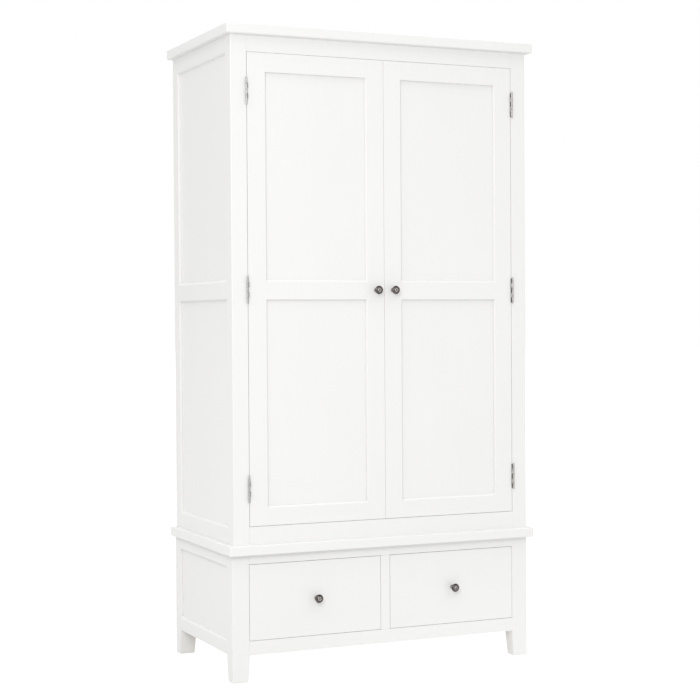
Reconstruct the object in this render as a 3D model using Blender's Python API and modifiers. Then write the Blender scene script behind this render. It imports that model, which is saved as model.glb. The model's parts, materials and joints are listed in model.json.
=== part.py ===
"""A painted two-door wardrobe on a two-drawer base, modelled piece by piece.

Frame: metres, +Z up, doors and drawers face -Y, +X is the viewer's right.
The origin is on the floor, under the middle of the wardrobe's overall box.
The doors turn on upright pins just in front of the carcass, and the drawers slide out along -Y.
"""

import math

import bmesh
import bpy

# Overall sizes.
HEIGHT = 1.950
BOARD_WIDTH = 1.030
BOARD_THICK = 0.030
CARCASS_WIDTH = 0.995
BASE_WIDTH = 1.003

# Depth positions, from front to back.
CARCASS_FRONT = -0.2588
TOP_BOARD_FRONT = CARCASS_FRONT - 0.020
BASE_BOARD_FRONT = CARCASS_FRONT - 0.017
BASE_FRONT = CARCASS_FRONT + 0.0055
CARCASS_REAR = CARCASS_FRONT + 0.537
BOARD_REAR = CARCASS_FRONT + 0.546

# Heights of the main lines.
TOP_BOARD_UNDER = HEIGHT - BOARD_THICK
DOOR_HOLE_TOP = 1.8705
DOOR_HOLE_BOTTOM = 0.4630
BASE_BOARD_TOP = 0.4095
BASE_BOARD_UNDER = BASE_BOARD_TOP - BOARD_THICK
DRAWER_HOLE_TOP = 0.3508
DRAWER_HOLE_BOTTOM = 0.1221
BASE_RAIL_UNDER = 0.0805

# Clearances. PAST is how far a cutting block runs beyond what it cuts.
TOUCH = 0.0003
PAST = 0.01
HINGE_SIDE_GAP = 0.0012
DOOR_TOP_GAP = 0.0009
DOOR_BOTTOM_GAP = 0.0012
DRAWER_GAP = 0.0010
DRAWER_RUN_GAP = 0.0005

# Framing.
RAIL_THICK = 0.022
PANEL_RECESS = 0.008
PANEL_THICK = 0.008
BACK_THICK = 0.008
BACK_REBATE = 0.012
FLOOR_THICK = 0.018
DOOR_HOLE_HALF = 0.447
FRONT_POST_DEPTH = 0.045
REAR_POST_DEPTH = 0.047
LEG_DEPTH = 0.048
SIDE_MID_RAIL = (1.1370, 1.1960)
SIDE_TOP_RAIL_UNDER = 1.868
RAIL_BATTEN_UNDER = 1.790
BASE_SIDE_PANEL = (0.1239, 0.3403)
EDGE_ROUND = 0.003

# Legs narrow on their two inner faces below the base rails.
LEG_TAPER_X = 0.0045
LEG_TAPER_Y = 0.0095

# Doors.
DOOR_THICK = 0.022
DOOR_INNER = 0.0003
DOOR_MEETING_BEVEL = 0.00055
DOOR_OUTER = DOOR_HOLE_HALF - HINGE_SIDE_GAP
DOOR_TOP = DOOR_HOLE_TOP - DOOR_TOP_GAP
DOOR_BOTTOM = DOOR_HOLE_BOTTOM + DOOR_BOTTOM_GAP
DOOR_FIELD_INNER = 0.061
DOOR_FIELD_OUTER = 0.385
DOOR_PANEL_UPPER = (1.1964, 1.8122)
DOOR_PANEL_LOWER = (0.5219, 1.1369)
DOOR_PANEL_RECESS = 0.0085
DOOR_PANEL_THICK = 0.007
DOOR_GROOVE_DEPTH = 0.008
DOOR_KNOB_X = 0.0285
DOOR_KNOB_Z = 1.1667

# Butt hinges: five knuckles, the first, third and fifth on the carcass leaf.
HINGE_LEVELS = (("lower", 0.576), ("middle", 1.1667), ("upper", 1.7545))
HINGE_PIN_X = DOOR_HOLE_HALF + 0.002
HINGE_PIN_Y = CARCASS_FRONT - 0.005
HINGE_HEIGHT = 0.076
HINGE_TIP = 0.004
HINGE_TIP_RADII = (0.0016, 0.0026)
HINGE_TIP_SHARES = (0.9, 0.5)
HINGE_KNUCKLES = 5
HINGE_BARREL_RADIUS = 0.0031
HINGE_PIN_RADIUS = 0.0017
HINGE_BORE_RADIUS = 0.0019
HINGE_LEAF_THICK = 0.0018
HINGE_LEAF_REAR = CARCASS_FRONT + 0.020
HINGE_ARM_HALF = 0.0017
HINGE_ARM_OVERLAP = 0.001
HINGE_ARM_INSET = 0.0002
HINGE_SEGMENTS = 12

# Drawers.
DRAWER_HOLE_INNER = 0.0154
DRAWER_HOLE_OUTER = 0.4475
DRAWER_FRONT_THICK = 0.020
DRAWER_SIDE_THICK = 0.012
DRAWER_SIDE_TOP = 0.330
DRAWER_SIDE_INSET = 0.0020
DRAWER_SIDE_BOTTOM = DRAWER_HOLE_BOTTOM + DRAWER_RUN_GAP
DRAWER_BACK_TOP = 0.325
DRAWER_REAR = CARCASS_FRONT + 0.500
DRAWER_BOTTOM_LEVEL = 0.1323
DRAWER_BOTTOM_THICK = 0.006
DRAWER_GROOVE_DEPTH = 0.005
DRAWER_KNOB_X = 0.2315
DRAWER_KNOB_Z = 0.2367

# Runner frame under the drawers.
RUNNER_THICK = 0.018
GUIDE_HEIGHT = 0.018
RUNNER_WIDTH = 0.045
RUNNER_CROSS_DEPTH = 0.052

# Turned knobs, held by a bolt from behind.
KNOB_HEIGHT = 0.0285
KNOB_RADIUS = 0.0131
KNOB_BOLT_RADIUS = 0.0020
KNOB_HOLE_RADIUS = 0.0026
KNOB_HEAD_RADIUS = 0.0048
KNOB_HEAD_HEIGHT = 0.0026
KNOB_SEGMENTS = 20

# Hanging rail and its end sockets.
HANGING_RAIL_Z = 1.840
HANGING_RAIL_Y = CARCASS_FRONT + 0.275
HANGING_RAIL_RADIUS = 0.0125
HANGING_RAIL_WALL = 0.0015
SOCKET_FLANGE_RADIUS = 0.028
SOCKET_FLANGE_THICK = 0.004
SOCKET_FLANGE_EDGE = 0.003
SOCKET_COLLAR_RADIUS = 0.0165
SOCKET_COLLAR_LENGTH = 0.016
SOCKET_BORE_RADIUS = 0.0130
RAIL_SEGMENTS = 24

# Double magnetic catch, behind the front top rail.
CATCH_HALF_WIDTH = 0.032
CATCH_DEPTH = 0.016
CATCH_TOP = 1.890
CATCH_BOTTOM = 1.852
CATCH_STEP = 0.002

SIDES = (("left", -1), ("right", 1))
MESH_MERGE = 0.00001
SMOOTH_ANGLE = math.radians(35)
EMPTY_SIZE = 0.05

WHITE_PAINT = ("white_paint", (0.86, 0.86, 0.85), 0.45, 0.0)
DRAWER_WOOD = ("drawer_wood", (0.72, 0.56, 0.38), 0.55, 0.0)
KNOB_METAL = ("knob_metal", (0.28, 0.26, 0.24), 0.35, 1.0)
HINGE_STEEL = ("hinge_steel", (0.62, 0.61, 0.59), 0.30, 1.0)
RAIL_CHROME = ("rail_chrome", (0.80, 0.80, 0.80), 0.12, 1.0)
CATCH_PLASTIC = ("catch_plastic", (0.80, 0.79, 0.76), 0.40, 0.0)


def clear_scene():
    """Removes what a new file starts with."""
    for old in list(bpy.data.objects):
        bpy.data.objects.remove(old, do_unlink=True)


def new_collection(name):
    """A collection linked to the scene."""
    made = bpy.data.collections.new(name)
    bpy.context.scene.collection.children.link(made)
    return made


def new_material(name, look):
    """A Principled material for one piece, from (slot, colour, roughness, metallic)."""
    slot, colour, roughness, metallic = look
    material = bpy.data.materials.new(f"{name}_{slot}")
    material.use_nodes = True
    shader = material.node_tree.nodes["Principled BSDF"]
    shader.inputs["Base Color"].default_value = (*colour, 1.0)
    shader.inputs["Roughness"].default_value = roughness
    shader.inputs["Metallic"].default_value = metallic
    material.diffuse_color = (*colour, 1.0)
    return material


def add_object(name, mesh, location, look):
    """Puts a mesh in the wardrobe as a named piece with its own material."""
    made = bpy.data.objects.new(name, mesh)
    made.location = location
    mesh.materials.append(new_material(name, look))
    PIECES.objects.link(made)
    return made


def add_tool(name, mesh, location):
    """Puts a mesh among the tools that shape other pieces."""
    made = bpy.data.objects.new(name, mesh)
    made.location = location
    made.hide_render = True
    made.display_type = "WIRE"
    TOOLS.objects.link(made)
    return made


def block_mesh(name, spans):
    """A box mesh centred on its own origin, and the place of that origin, from three (low, high) spans."""
    size = [high - low for low, high in spans]
    centre = [(high + low) / 2 for low, high in spans]
    mesh = bpy.data.meshes.new(name)
    shape = bmesh.new()
    bmesh.ops.create_cube(shape, size=1.0)
    bmesh.ops.scale(shape, vec=size, verts=shape.verts)
    shape.to_mesh(mesh)
    shape.free()
    return mesh, centre


def block(name, x, y, z, look=WHITE_PAINT):
    """A plain board as a piece of the wardrobe."""
    mesh, centre = block_mesh(name, (x, y, z))
    return add_object(name, mesh, centre, look)


def add_boolean(piece, tool, operation):
    """Cuts a tool from a piece, or joins it on."""
    modifier = piece.modifiers.new(tool.name, "BOOLEAN")
    modifier.operation = operation
    modifier.solver = "EXACT"
    modifier.object = tool


def cut_block(piece, label, x, y, z):
    """Cuts a box out of a piece."""
    mesh, centre = block_mesh(f"{piece.name}_{label}", (x, y, z))
    add_boolean(piece, add_tool(mesh.name, mesh, centre), "DIFFERENCE")


def join_block(piece, label, x, y, z):
    """Joins a box on to a piece."""
    mesh, centre = block_mesh(f"{piece.name}_{label}", (x, y, z))
    add_boolean(piece, add_tool(mesh.name, mesh, centre), "UNION")


def outward(sign, near, far):
    """The x span between two distances from the centre line, on one side of it."""
    return (near, far) if sign > 0 else (-far, -near)


def round_edges(piece, width):
    """Eases every edge of a board."""
    bevel = piece.modifiers.new("eased_edges", "BEVEL")
    bevel.width = width
    bevel.segments = 2
    bevel.limit_method = "ANGLE"


def turned_mesh(name, profile, segments, closed=False):
    """A mesh turned about local Z from (radius, height) points that run from top to bottom on the outside."""
    outline = bpy.data.meshes.new(f"{name}_profile")
    points = [(radius, 0.0, height) for radius, height in profile]
    edges = [(index, index + 1) for index in range(len(points) - 1)]
    if closed:
        edges.append((len(points) - 1, 0))
    outline.from_pydata(points, edges, [])
    lathe = bpy.data.objects.new(f"{name}_lathe", outline)
    TOOLS.objects.link(lathe)
    screw = lathe.modifiers.new("turn", "SCREW")
    screw.axis = "Z"
    screw.steps = segments
    screw.render_steps = segments
    screw.use_merge_vertices = True
    screw.merge_threshold = MESH_MERGE
    evaluated = lathe.evaluated_get(bpy.context.evaluated_depsgraph_get())
    mesh = bpy.data.meshes.new_from_object(evaluated)
    mesh.name = name
    bpy.data.objects.remove(lathe, do_unlink=True)
    mesh.shade_smooth()
    mesh.set_sharp_from_angle(angle=SMOOTH_ANGLE)
    return mesh


def pivot(name, location):
    """An empty that marks a joint's axis or a moving body's rest place."""
    empty = bpy.data.objects.new(name, None)
    empty.location = location
    empty.empty_display_size = EMPTY_SIZE
    PIECES.objects.link(empty)
    return empty


def hang_on(empty, pieces):
    """Parents pieces to an empty and keeps them where they are."""
    bpy.context.view_layer.update()
    for piece in pieces:
        piece.parent = empty
        piece.matrix_parent_inverse = empty.matrix_world.inverted()


def build_boards():
    """The overhanging top board and the board between carcass and base."""
    half = BOARD_WIDTH / 2
    top = block("top_board", (-half, half), (TOP_BOARD_FRONT, BOARD_REAR), (TOP_BOARD_UNDER, HEIGHT))
    round_edges(top, EDGE_ROUND)
    base = block(
        "base_top_board", (-half, half), (BASE_BOARD_FRONT, BOARD_REAR), (BASE_BOARD_UNDER, BASE_BOARD_TOP)
    )
    round_edges(base, EDGE_ROUND)


def build_upper_posts():
    """Four corner posts: hinge mortises in the front ones, a rebate for the back panel in the rear ones."""
    heights = (BASE_BOARD_TOP + TOUCH, TOP_BOARD_UNDER - TOUCH)
    mortise_depth = HINGE_LEAF_THICK + TOUCH
    for side, sign in SIDES:
        x = outward(sign, DOOR_HOLE_HALF, CARCASS_WIDTH / 2)
        front = block(f"upper_post_front_{side}", x, (CARCASS_FRONT, CARCASS_FRONT + FRONT_POST_DEPTH), heights)
        for level, height in HINGE_LEVELS:
            reach = HINGE_HEIGHT / 2 + TOUCH
            cut_block(
                front,
                f"mortise_{level}",
                outward(sign, DOOR_HOLE_HALF - PAST, DOOR_HOLE_HALF + mortise_depth),
                (CARCASS_FRONT - PAST, HINGE_LEAF_REAR + TOUCH),
                (height - reach, height + reach),
            )
        rear = block(f"upper_post_rear_{side}", x, (CARCASS_REAR - REAR_POST_DEPTH, CARCASS_REAR), heights)
        cut_block(
            rear,
            "rebate",
            outward(sign, DOOR_HOLE_HALF - PAST, DOOR_HOLE_HALF + BACK_REBATE),
            (CARCASS_REAR - BACK_THICK - TOUCH, CARCASS_REAR + PAST),
            (heights[0] - PAST, heights[1] + PAST),
        )


def build_upper_sides():
    """Side frames of the carcass: three rails and two recessed panels, with a batten that carries the rail."""
    outer = CARCASS_WIDTH / 2
    inner = outer - RAIL_THICK
    recess = outer - PANEL_RECESS
    panel_back = recess - PANEL_THICK
    y = (CARCASS_FRONT + FRONT_POST_DEPTH + TOUCH, CARCASS_REAR - REAR_POST_DEPTH - TOUCH)
    past_ends = (y[0] - PAST, y[1] + PAST)
    outside_fields = (
        ("lower", (DOOR_HOLE_BOTTOM, SIDE_MID_RAIL[0])),
        ("upper", (SIDE_MID_RAIL[1], SIDE_TOP_RAIL_UNDER)),
    )
    inside_fields = (
        ("lower", (DOOR_HOLE_BOTTOM, SIDE_MID_RAIL[0])),
        ("upper", (SIDE_MID_RAIL[1], RAIL_BATTEN_UNDER)),
    )
    for side, sign in SIDES:
        frame = block(
            f"upper_side_{side}",
            outward(sign, inner, outer),
            y,
            (BASE_BOARD_TOP + TOUCH, TOP_BOARD_UNDER - TOUCH),
        )
        for label, heights in outside_fields:
            cut_block(frame, f"outside_{label}", outward(sign, recess, outer + PAST), past_ends, heights)
        for label, heights in inside_fields:
            cut_block(frame, f"inside_{label}", outward(sign, inner - PAST, panel_back), past_ends, heights)


def build_upper_front():
    """Front rails above and below the doors, the back panel and the floor board."""
    between = DOOR_HOLE_HALF - TOUCH
    rail_y = (CARCASS_FRONT, CARCASS_FRONT + RAIL_THICK)
    block(
        "upper_front_top_rail", (-between, between), rail_y, (DOOR_HOLE_TOP, TOP_BOARD_UNDER - TOUCH)
    )
    block(
        "upper_front_bottom_rail", (-between, between), rail_y, (BASE_BOARD_TOP + TOUCH, DOOR_HOLE_BOTTOM)
    )
    back = DOOR_HOLE_HALF + BACK_REBATE - TOUCH
    block(
        "upper_back_panel",
        (-back, back),
        (CARCASS_REAR - BACK_THICK, CARCASS_REAR),
        (BASE_BOARD_TOP + TOUCH, TOP_BOARD_UNDER - TOUCH),
    )
    floor_half = CARCASS_WIDTH / 2 - RAIL_THICK - TOUCH
    floor_y = (rail_y[1] + TOUCH, CARCASS_REAR - BACK_THICK - 2 * TOUCH)
    floor_z = (DOOR_HOLE_BOTTOM - FLOOR_THICK, DOOR_HOLE_BOTTOM)
    floor = block("upper_floor_board", (-floor_half, floor_half), floor_y, floor_z)
    notches = (
        ("front", (floor_y[0] - PAST, CARCASS_FRONT + FRONT_POST_DEPTH + TOUCH)),
        ("rear", (CARCASS_REAR - REAR_POST_DEPTH - TOUCH, floor_y[1] + PAST)),
    )
    for side, sign in SIDES:
        for label, y in notches:
            cut_block(
                floor,
                f"notch_{label}_{side}",
                outward(sign, between, floor_half + PAST),
                y,
                (floor_z[0] - PAST, floor_z[1] + PAST),
            )


def build_hanging_rail():
    """A tube across the hanging space and the cup at each of its ends."""
    wall = CARCASS_WIDTH / 2 - RAIL_THICK - TOUCH
    half_length = wall - SOCKET_FLANGE_THICK - TOUCH
    inner_radius = HANGING_RAIL_RADIUS - HANGING_RAIL_WALL
    tube_profile = (
        (HANGING_RAIL_RADIUS, half_length),
        (HANGING_RAIL_RADIUS, -half_length),
        (inner_radius, -half_length),
        (inner_radius, half_length),
    )
    tube = add_object(
        "hanging_rail",
        turned_mesh("hanging_rail", tube_profile, RAIL_SEGMENTS, closed=True),
        (0.0, HANGING_RAIL_Y, HANGING_RAIL_Z),
        RAIL_CHROME,
    )
    tube.rotation_euler = (0.0, math.pi / 2, 0.0)
    cup_profile = (
        (0.0, SOCKET_FLANGE_THICK),
        (SOCKET_BORE_RADIUS, SOCKET_FLANGE_THICK),
        (SOCKET_BORE_RADIUS, SOCKET_COLLAR_LENGTH),
        (SOCKET_COLLAR_RADIUS, SOCKET_COLLAR_LENGTH),
        (SOCKET_COLLAR_RADIUS, SOCKET_FLANGE_THICK),
        (SOCKET_FLANGE_RADIUS, SOCKET_FLANGE_EDGE),
        (SOCKET_FLANGE_RADIUS, 0.0),
        (0.0, 0.0),
    )
    for side, sign in SIDES:
        cup = add_object(
            f"rail_socket_{side}",
            turned_mesh(f"rail_socket_{side}", cup_profile, RAIL_SEGMENTS),
            (sign * wall, HANGING_RAIL_Y, HANGING_RAIL_Z),
            RAIL_CHROME,
        )
        cup.rotation_euler = (0.0, -sign * math.pi / 2, 0.0)


def build_catch():
    """A double magnetic catch, set back from the doors where it hangs below the rail."""
    rear_of_rail = CARCASS_FRONT + RAIL_THICK
    y = (rear_of_rail + TOUCH, rear_of_rail + CATCH_DEPTH)
    half = CATCH_HALF_WIDTH
    catch = block("magnetic_catch", (-half, half), y, (CATCH_BOTTOM, CATCH_TOP), CATCH_PLASTIC)
    cut_block(
        catch,
        "step",
        (-half - PAST, half + PAST),
        (y[0] - PAST, rear_of_rail + CATCH_STEP),
        (CATCH_BOTTOM - PAST, DOOR_HOLE_TOP),
    )


def taper_leg(mesh, sign_in_x, sign_in_y):
    """Narrows a leg below its rails, on the faces that look towards the middle of the base."""
    shape = bmesh.new()
    shape.from_mesh(mesh)
    knee = BASE_RAIL_UNDER - BASE_BOARD_UNDER / 2
    bmesh.ops.bisect_plane(
        shape,
        geom=shape.verts[:] + shape.edges[:] + shape.faces[:],
        plane_co=(0.0, 0.0, knee),
        plane_no=(0.0, 0.0, 1.0),
    )
    for vertex in shape.verts:
        if vertex.co.z < knee - MESH_MERGE:
            if vertex.co.x * sign_in_x > 0:
                vertex.co.x -= sign_in_x * LEG_TAPER_X
            if vertex.co.y * sign_in_y > 0:
                vertex.co.y -= sign_in_y * LEG_TAPER_Y
    shape.to_mesh(mesh)
    shape.free()


def build_legs():
    """Four legs that run from the floor to the base board, with a rebate for the back panel behind."""
    inner, outer = DRAWER_HOLE_OUTER, BASE_WIDTH / 2
    z = (0.0, BASE_BOARD_UNDER - TOUCH)
    rows = (
        ("front", (BASE_FRONT, BASE_FRONT + LEG_DEPTH), 1),
        ("rear", (CARCASS_REAR - LEG_DEPTH, CARCASS_REAR), -1),
    )
    for side, sign in SIDES:
        for row, y, towards_middle in rows:
            leg = block(f"leg_{row}_{side}", outward(sign, inner, outer), y, z)
            taper_leg(leg.data, -sign, towards_middle)
            if row == "rear":
                cut_block(
                    leg,
                    "rebate",
                    outward(sign, inner - PAST, inner + BACK_REBATE),
                    (CARCASS_REAR - BACK_THICK - TOUCH, CARCASS_REAR + PAST),
                    (BASE_RAIL_UNDER - TOUCH, z[1] + PAST),
                )


def build_base_frame():
    """Front rails, centre stile, side frames and back panel of the base."""
    between = DRAWER_HOLE_OUTER - TOUCH
    top = BASE_BOARD_UNDER - TOUCH
    front_y = (BASE_FRONT, BASE_FRONT + RAIL_THICK)
    block("base_front_top_rail", (-between, between), front_y, (DRAWER_HOLE_TOP, top))
    block("base_front_bottom_rail", (-between, between), front_y, (BASE_RAIL_UNDER, DRAWER_HOLE_BOTTOM))
    block(
        "base_centre_stile",
        (-DRAWER_HOLE_INNER, DRAWER_HOLE_INNER),
        front_y,
        (DRAWER_HOLE_BOTTOM + TOUCH, DRAWER_HOLE_TOP - TOUCH),
    )
    outer = BASE_WIDTH / 2
    inner = outer - RAIL_THICK
    side_y = (BASE_FRONT + LEG_DEPTH + TOUCH, CARCASS_REAR - LEG_DEPTH - TOUCH)
    past_ends = (side_y[0] - PAST, side_y[1] + PAST)
    for side, sign in SIDES:
        frame = block(f"base_side_{side}", outward(sign, inner, outer), side_y, (BASE_RAIL_UNDER, top))
        recess = outer - PANEL_RECESS
        cut_block(frame, "outside", outward(sign, recess, outer + PAST), past_ends, BASE_SIDE_PANEL)
        cut_block(
            frame, "inside", outward(sign, inner - PAST, recess - PANEL_THICK), past_ends, BASE_SIDE_PANEL
        )
    back = DRAWER_HOLE_OUTER + BACK_REBATE - TOUCH
    block(
        "base_back_panel", (-back, back), (CARCASS_REAR - BACK_THICK, CARCASS_REAR), (BASE_RAIL_UNDER, top)
    )


def build_runner_frame():
    """The frame that the drawers run on, with a guide between them and one outside each."""
    half = BASE_WIDTH / 2 - RAIL_THICK - TOUCH
    y = (BASE_FRONT + RAIL_THICK + TOUCH, CARCASS_REAR - BACK_THICK - 2 * TOUCH)
    run = DRAWER_HOLE_BOTTOM
    z = (run - RUNNER_THICK, run + GUIDE_HEIGHT)
    past_z = (z[0] - PAST, z[1] + PAST)
    frame = block("drawer_runner_frame", (-half, half), y, z, DRAWER_WOOD)
    inner = DRAWER_HOLE_INNER - TOUCH
    leg = DRAWER_HOLE_OUTER - TOUCH
    for side, sign in SIDES:
        cut_block(
            frame,
            f"track_{side}",
            outward(sign, inner, DRAWER_HOLE_OUTER),
            (y[0] - PAST, y[1] + PAST),
            (run, z[1] + PAST),
        )
        cut_block(
            frame,
            f"window_{side}",
            outward(sign, inner + RUNNER_WIDTH, leg - RUNNER_WIDTH),
            (y[0] + RUNNER_CROSS_DEPTH, y[1] - RUNNER_CROSS_DEPTH),
            past_z,
        )
        cut_block(
            frame,
            f"front_notch_{side}",
            outward(sign, leg, half + PAST),
            (y[0] - PAST, BASE_FRONT + LEG_DEPTH + TOUCH),
            (z[0] - PAST, z[1] + PAST),
        )
        cut_block(
            frame,
            f"rear_notch_{side}",
            outward(sign, leg, half + PAST),
            (CARCASS_REAR - LEG_DEPTH - TOUCH, y[1] + PAST),
            (z[0] - PAST, z[1] + PAST),
        )


def knuckle_span(index):
    """The height span of one hinge knuckle, from the hinge's middle, with 0 at the top."""
    pitch = HINGE_HEIGHT / HINGE_KNUCKLES
    top = HINGE_HEIGHT / 2 - index * pitch
    return top - pitch, top


def carcass_barrel_profile():
    """Pin, ball tips and the three carcass knuckles, as one turned outline."""
    half = HINGE_HEIGHT / 2
    points = [
        (0.0, half + HINGE_TIP),
        (HINGE_TIP_RADII[0], half + HINGE_TIP_SHARES[0] * HINGE_TIP),
        (HINGE_TIP_RADII[1], half + HINGE_TIP_SHARES[1] * HINGE_TIP),
        (HINGE_BARREL_RADIUS, half),
    ]
    for index in range(HINGE_KNUCKLES):
        low, high = knuckle_span(index)
        on_carcass = index % 2 == 0
        if not on_carcass:
            points.append((HINGE_BARREL_RADIUS, high + TOUCH))
            points.append((HINGE_PIN_RADIUS, high + TOUCH))
            points.append((HINGE_PIN_RADIUS, low - TOUCH))
            points.append((HINGE_BARREL_RADIUS, low - TOUCH))
    points += [(radius, -height) for radius, height in reversed(points[:4])]
    return points


def build_carcass_leaf(side, sign, level, height):
    """The hinge leaf let into the post, with its knuckles and the pin."""
    name = f"hinge_carcass_leaf_{level}_{side}"
    barrel = add_object(
        name,
        turned_mesh(name, carcass_barrel_profile(), HINGE_SEGMENTS),
        (sign * HINGE_PIN_X, HINGE_PIN_Y, height),
        HINGE_STEEL,
    )
    plate_mesh, centre = block_mesh(
        f"{name}_plate",
        (
            outward(sign, DOOR_HOLE_HALF, DOOR_HOLE_HALF + HINGE_LEAF_THICK),
            (HINGE_PIN_Y, HINGE_LEAF_REAR),
            (height - HINGE_HEIGHT / 2, height + HINGE_HEIGHT / 2),
        ),
    )
    plate = add_tool(plate_mesh.name, plate_mesh, centre)
    for index in range(1, HINGE_KNUCKLES, 2):
        low, high = knuckle_span(index)
        cut_block(
            plate,
            f"gap_{index}",
            outward(sign, DOOR_HOLE_HALF - PAST, DOOR_HOLE_HALF + PAST),
            (HINGE_PIN_Y - PAST, CARCASS_FRONT + TOUCH),
            (height + low - TOUCH, height + high + TOUCH),
        )
    add_boolean(barrel, plate, "UNION")
    return barrel


def build_door_leaf(side, sign, level, height):
    """The hinge leaf let into the door's edge, with its two bored knuckles."""
    name = f"hinge_door_leaf_{level}_{side}"
    arm_reach = HINGE_PIN_X - (HINGE_BORE_RADIUS + HINGE_BARREL_RADIUS) / 2
    face = DOOR_OUTER - HINGE_LEAF_THICK
    leaf = block(
        name,
        outward(sign, face, DOOR_OUTER),
        (CARCASS_FRONT + TOUCH, HINGE_LEAF_REAR),
        (height - HINGE_HEIGHT / 2, height + HINGE_HEIGHT / 2),
        HINGE_STEEL,
    )
    for index in range(1, HINGE_KNUCKLES, 2):
        low, high = knuckle_span(index)
        middle = height + (low + high) / 2
        half = (high - low) / 2 - TOUCH / 2
        ring_profile = (
            (HINGE_BARREL_RADIUS, half),
            (HINGE_BARREL_RADIUS, -half),
            (HINGE_BORE_RADIUS, -half),
            (HINGE_BORE_RADIUS, half),
        )
        join_block(
            leaf,
            f"arm_{index}",
            outward(sign, face, arm_reach),
            (HINGE_PIN_Y - HINGE_ARM_HALF, CARCASS_FRONT + HINGE_ARM_OVERLAP),
            (middle - half + HINGE_ARM_INSET, middle + half - HINGE_ARM_INSET),
        )
        ring = add_tool(
            f"{name}_knuckle_{index}",
            turned_mesh(f"{name}_knuckle_{index}", ring_profile, HINGE_SEGMENTS, closed=True),
            (sign * HINGE_PIN_X, HINGE_PIN_Y, middle),
        )
        add_boolean(leaf, ring, "UNION")
    return leaf


def knob_profile(board_thick):
    """A mushroom knob with its bolt through a board of the given thickness, heights from the board's face."""
    radius, height = KNOB_RADIUS, KNOB_HEIGHT
    return (
        (0.0, height),
        (0.40 * radius, 0.992 * height),
        (0.72 * radius, 0.955 * height),
        (0.92 * radius, 0.90 * height),
        (radius, 0.82 * height),
        (0.95 * radius, 0.73 * height),
        (0.72 * radius, 0.62 * height),
        (0.46 * radius, 0.50 * height),
        (0.37 * radius, 0.36 * height),
        (0.36 * radius, 0.22 * height),
        (0.48 * radius, 0.12 * height),
        (0.53 * radius, TOUCH),
        (KNOB_BOLT_RADIUS, TOUCH),
        (KNOB_BOLT_RADIUS, -board_thick - TOUCH),
        (KNOB_HEAD_RADIUS, -board_thick - TOUCH),
        (KNOB_HEAD_RADIUS, -board_thick - KNOB_HEAD_HEIGHT),
        (0.0, -board_thick - KNOB_HEAD_HEIGHT),
    )


def build_knob(name, board, x, face_y, z, board_thick):
    """Bores a board and puts a knob through it."""
    bore_profile = (
        (0.0, PAST),
        (KNOB_HOLE_RADIUS, PAST),
        (KNOB_HOLE_RADIUS, -board_thick - PAST),
        (0.0, -board_thick - PAST),
    )
    bore = add_tool(f"{name}_bore", turned_mesh(f"{name}_bore", bore_profile, HINGE_SEGMENTS), (x, face_y, z))
    bore.rotation_euler = (math.pi / 2, 0.0, 0.0)
    add_boolean(board, bore, "DIFFERENCE")
    knob = add_object(
        name, turned_mesh(name, knob_profile(board_thick), KNOB_SEGMENTS), (x, face_y, z), KNOB_METAL
    )
    knob.rotation_euler = (math.pi / 2, 0.0, 0.0)
    return knob


def bevel_meeting_edge(mesh, sign_in_x):
    """Slants the edge where a door meets the other one, so that its back clears as it swings."""
    for vertex in mesh.vertices:
        if vertex.co.x * sign_in_x > 0 and vertex.co.y > 0:
            vertex.co.x -= sign_in_x * DOOR_MEETING_BEVEL


def build_door(side, sign):
    """A framed door with two captive panels, its knob and its hinge leaves."""
    y = (CARCASS_FRONT, CARCASS_FRONT + DOOR_THICK)
    past_y = (y[0] - PAST, y[1] + PAST)
    field_x = (DOOR_FIELD_INNER, DOOR_FIELD_OUTER)
    panel_y = (y[0] + DOOR_PANEL_RECESS, y[0] + DOOR_PANEL_RECESS + DOOR_PANEL_THICK)
    groove_y = (panel_y[0] - TOUCH, panel_y[1] + TOUCH)
    frame = block(
        f"{side}_door_frame", outward(sign, DOOR_INNER, DOOR_OUTER), y, (DOOR_BOTTOM, DOOR_TOP)
    )
    bevel_meeting_edge(frame.data, -sign)
    pieces = [frame]
    for label, field_z in (("upper", DOOR_PANEL_UPPER), ("lower", DOOR_PANEL_LOWER)):
        depth = DOOR_GROOVE_DEPTH
        cut_block(frame, f"field_{label}", outward(sign, *field_x), past_y, field_z)
        cut_block(
            frame,
            f"groove_{label}",
            outward(sign, field_x[0] - depth, field_x[1] + depth),
            groove_y,
            (field_z[0] - depth, field_z[1] + depth),
        )
        tongue = depth - TOUCH
        pieces.append(
            block(
                f"{side}_door_panel_{label}",
                outward(sign, field_x[0] - tongue, field_x[1] + tongue),
                panel_y,
                (field_z[0] - tongue, field_z[1] + tongue),
            )
        )
    for level, height in HINGE_LEVELS:
        reach = HINGE_HEIGHT / 2 + TOUCH
        cut_block(
            frame,
            f"mortise_{level}",
            outward(sign, DOOR_OUTER - HINGE_LEAF_THICK - TOUCH, DOOR_OUTER + PAST),
            (y[0] - PAST, HINGE_LEAF_REAR + TOUCH),
            (height - reach, height + reach),
        )
        build_carcass_leaf(side, sign, level, height)
        pieces.append(build_door_leaf(side, sign, level, height))
    pieces.append(
        build_knob(f"{side}_door_knob", frame, sign * DOOR_KNOB_X, y[0], DOOR_KNOB_Z, DOOR_THICK)
    )
    hang_on(pivot(f"{side}_door_axis", (sign * HINGE_PIN_X, HINGE_PIN_Y, 0.0)), pieces)


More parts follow.
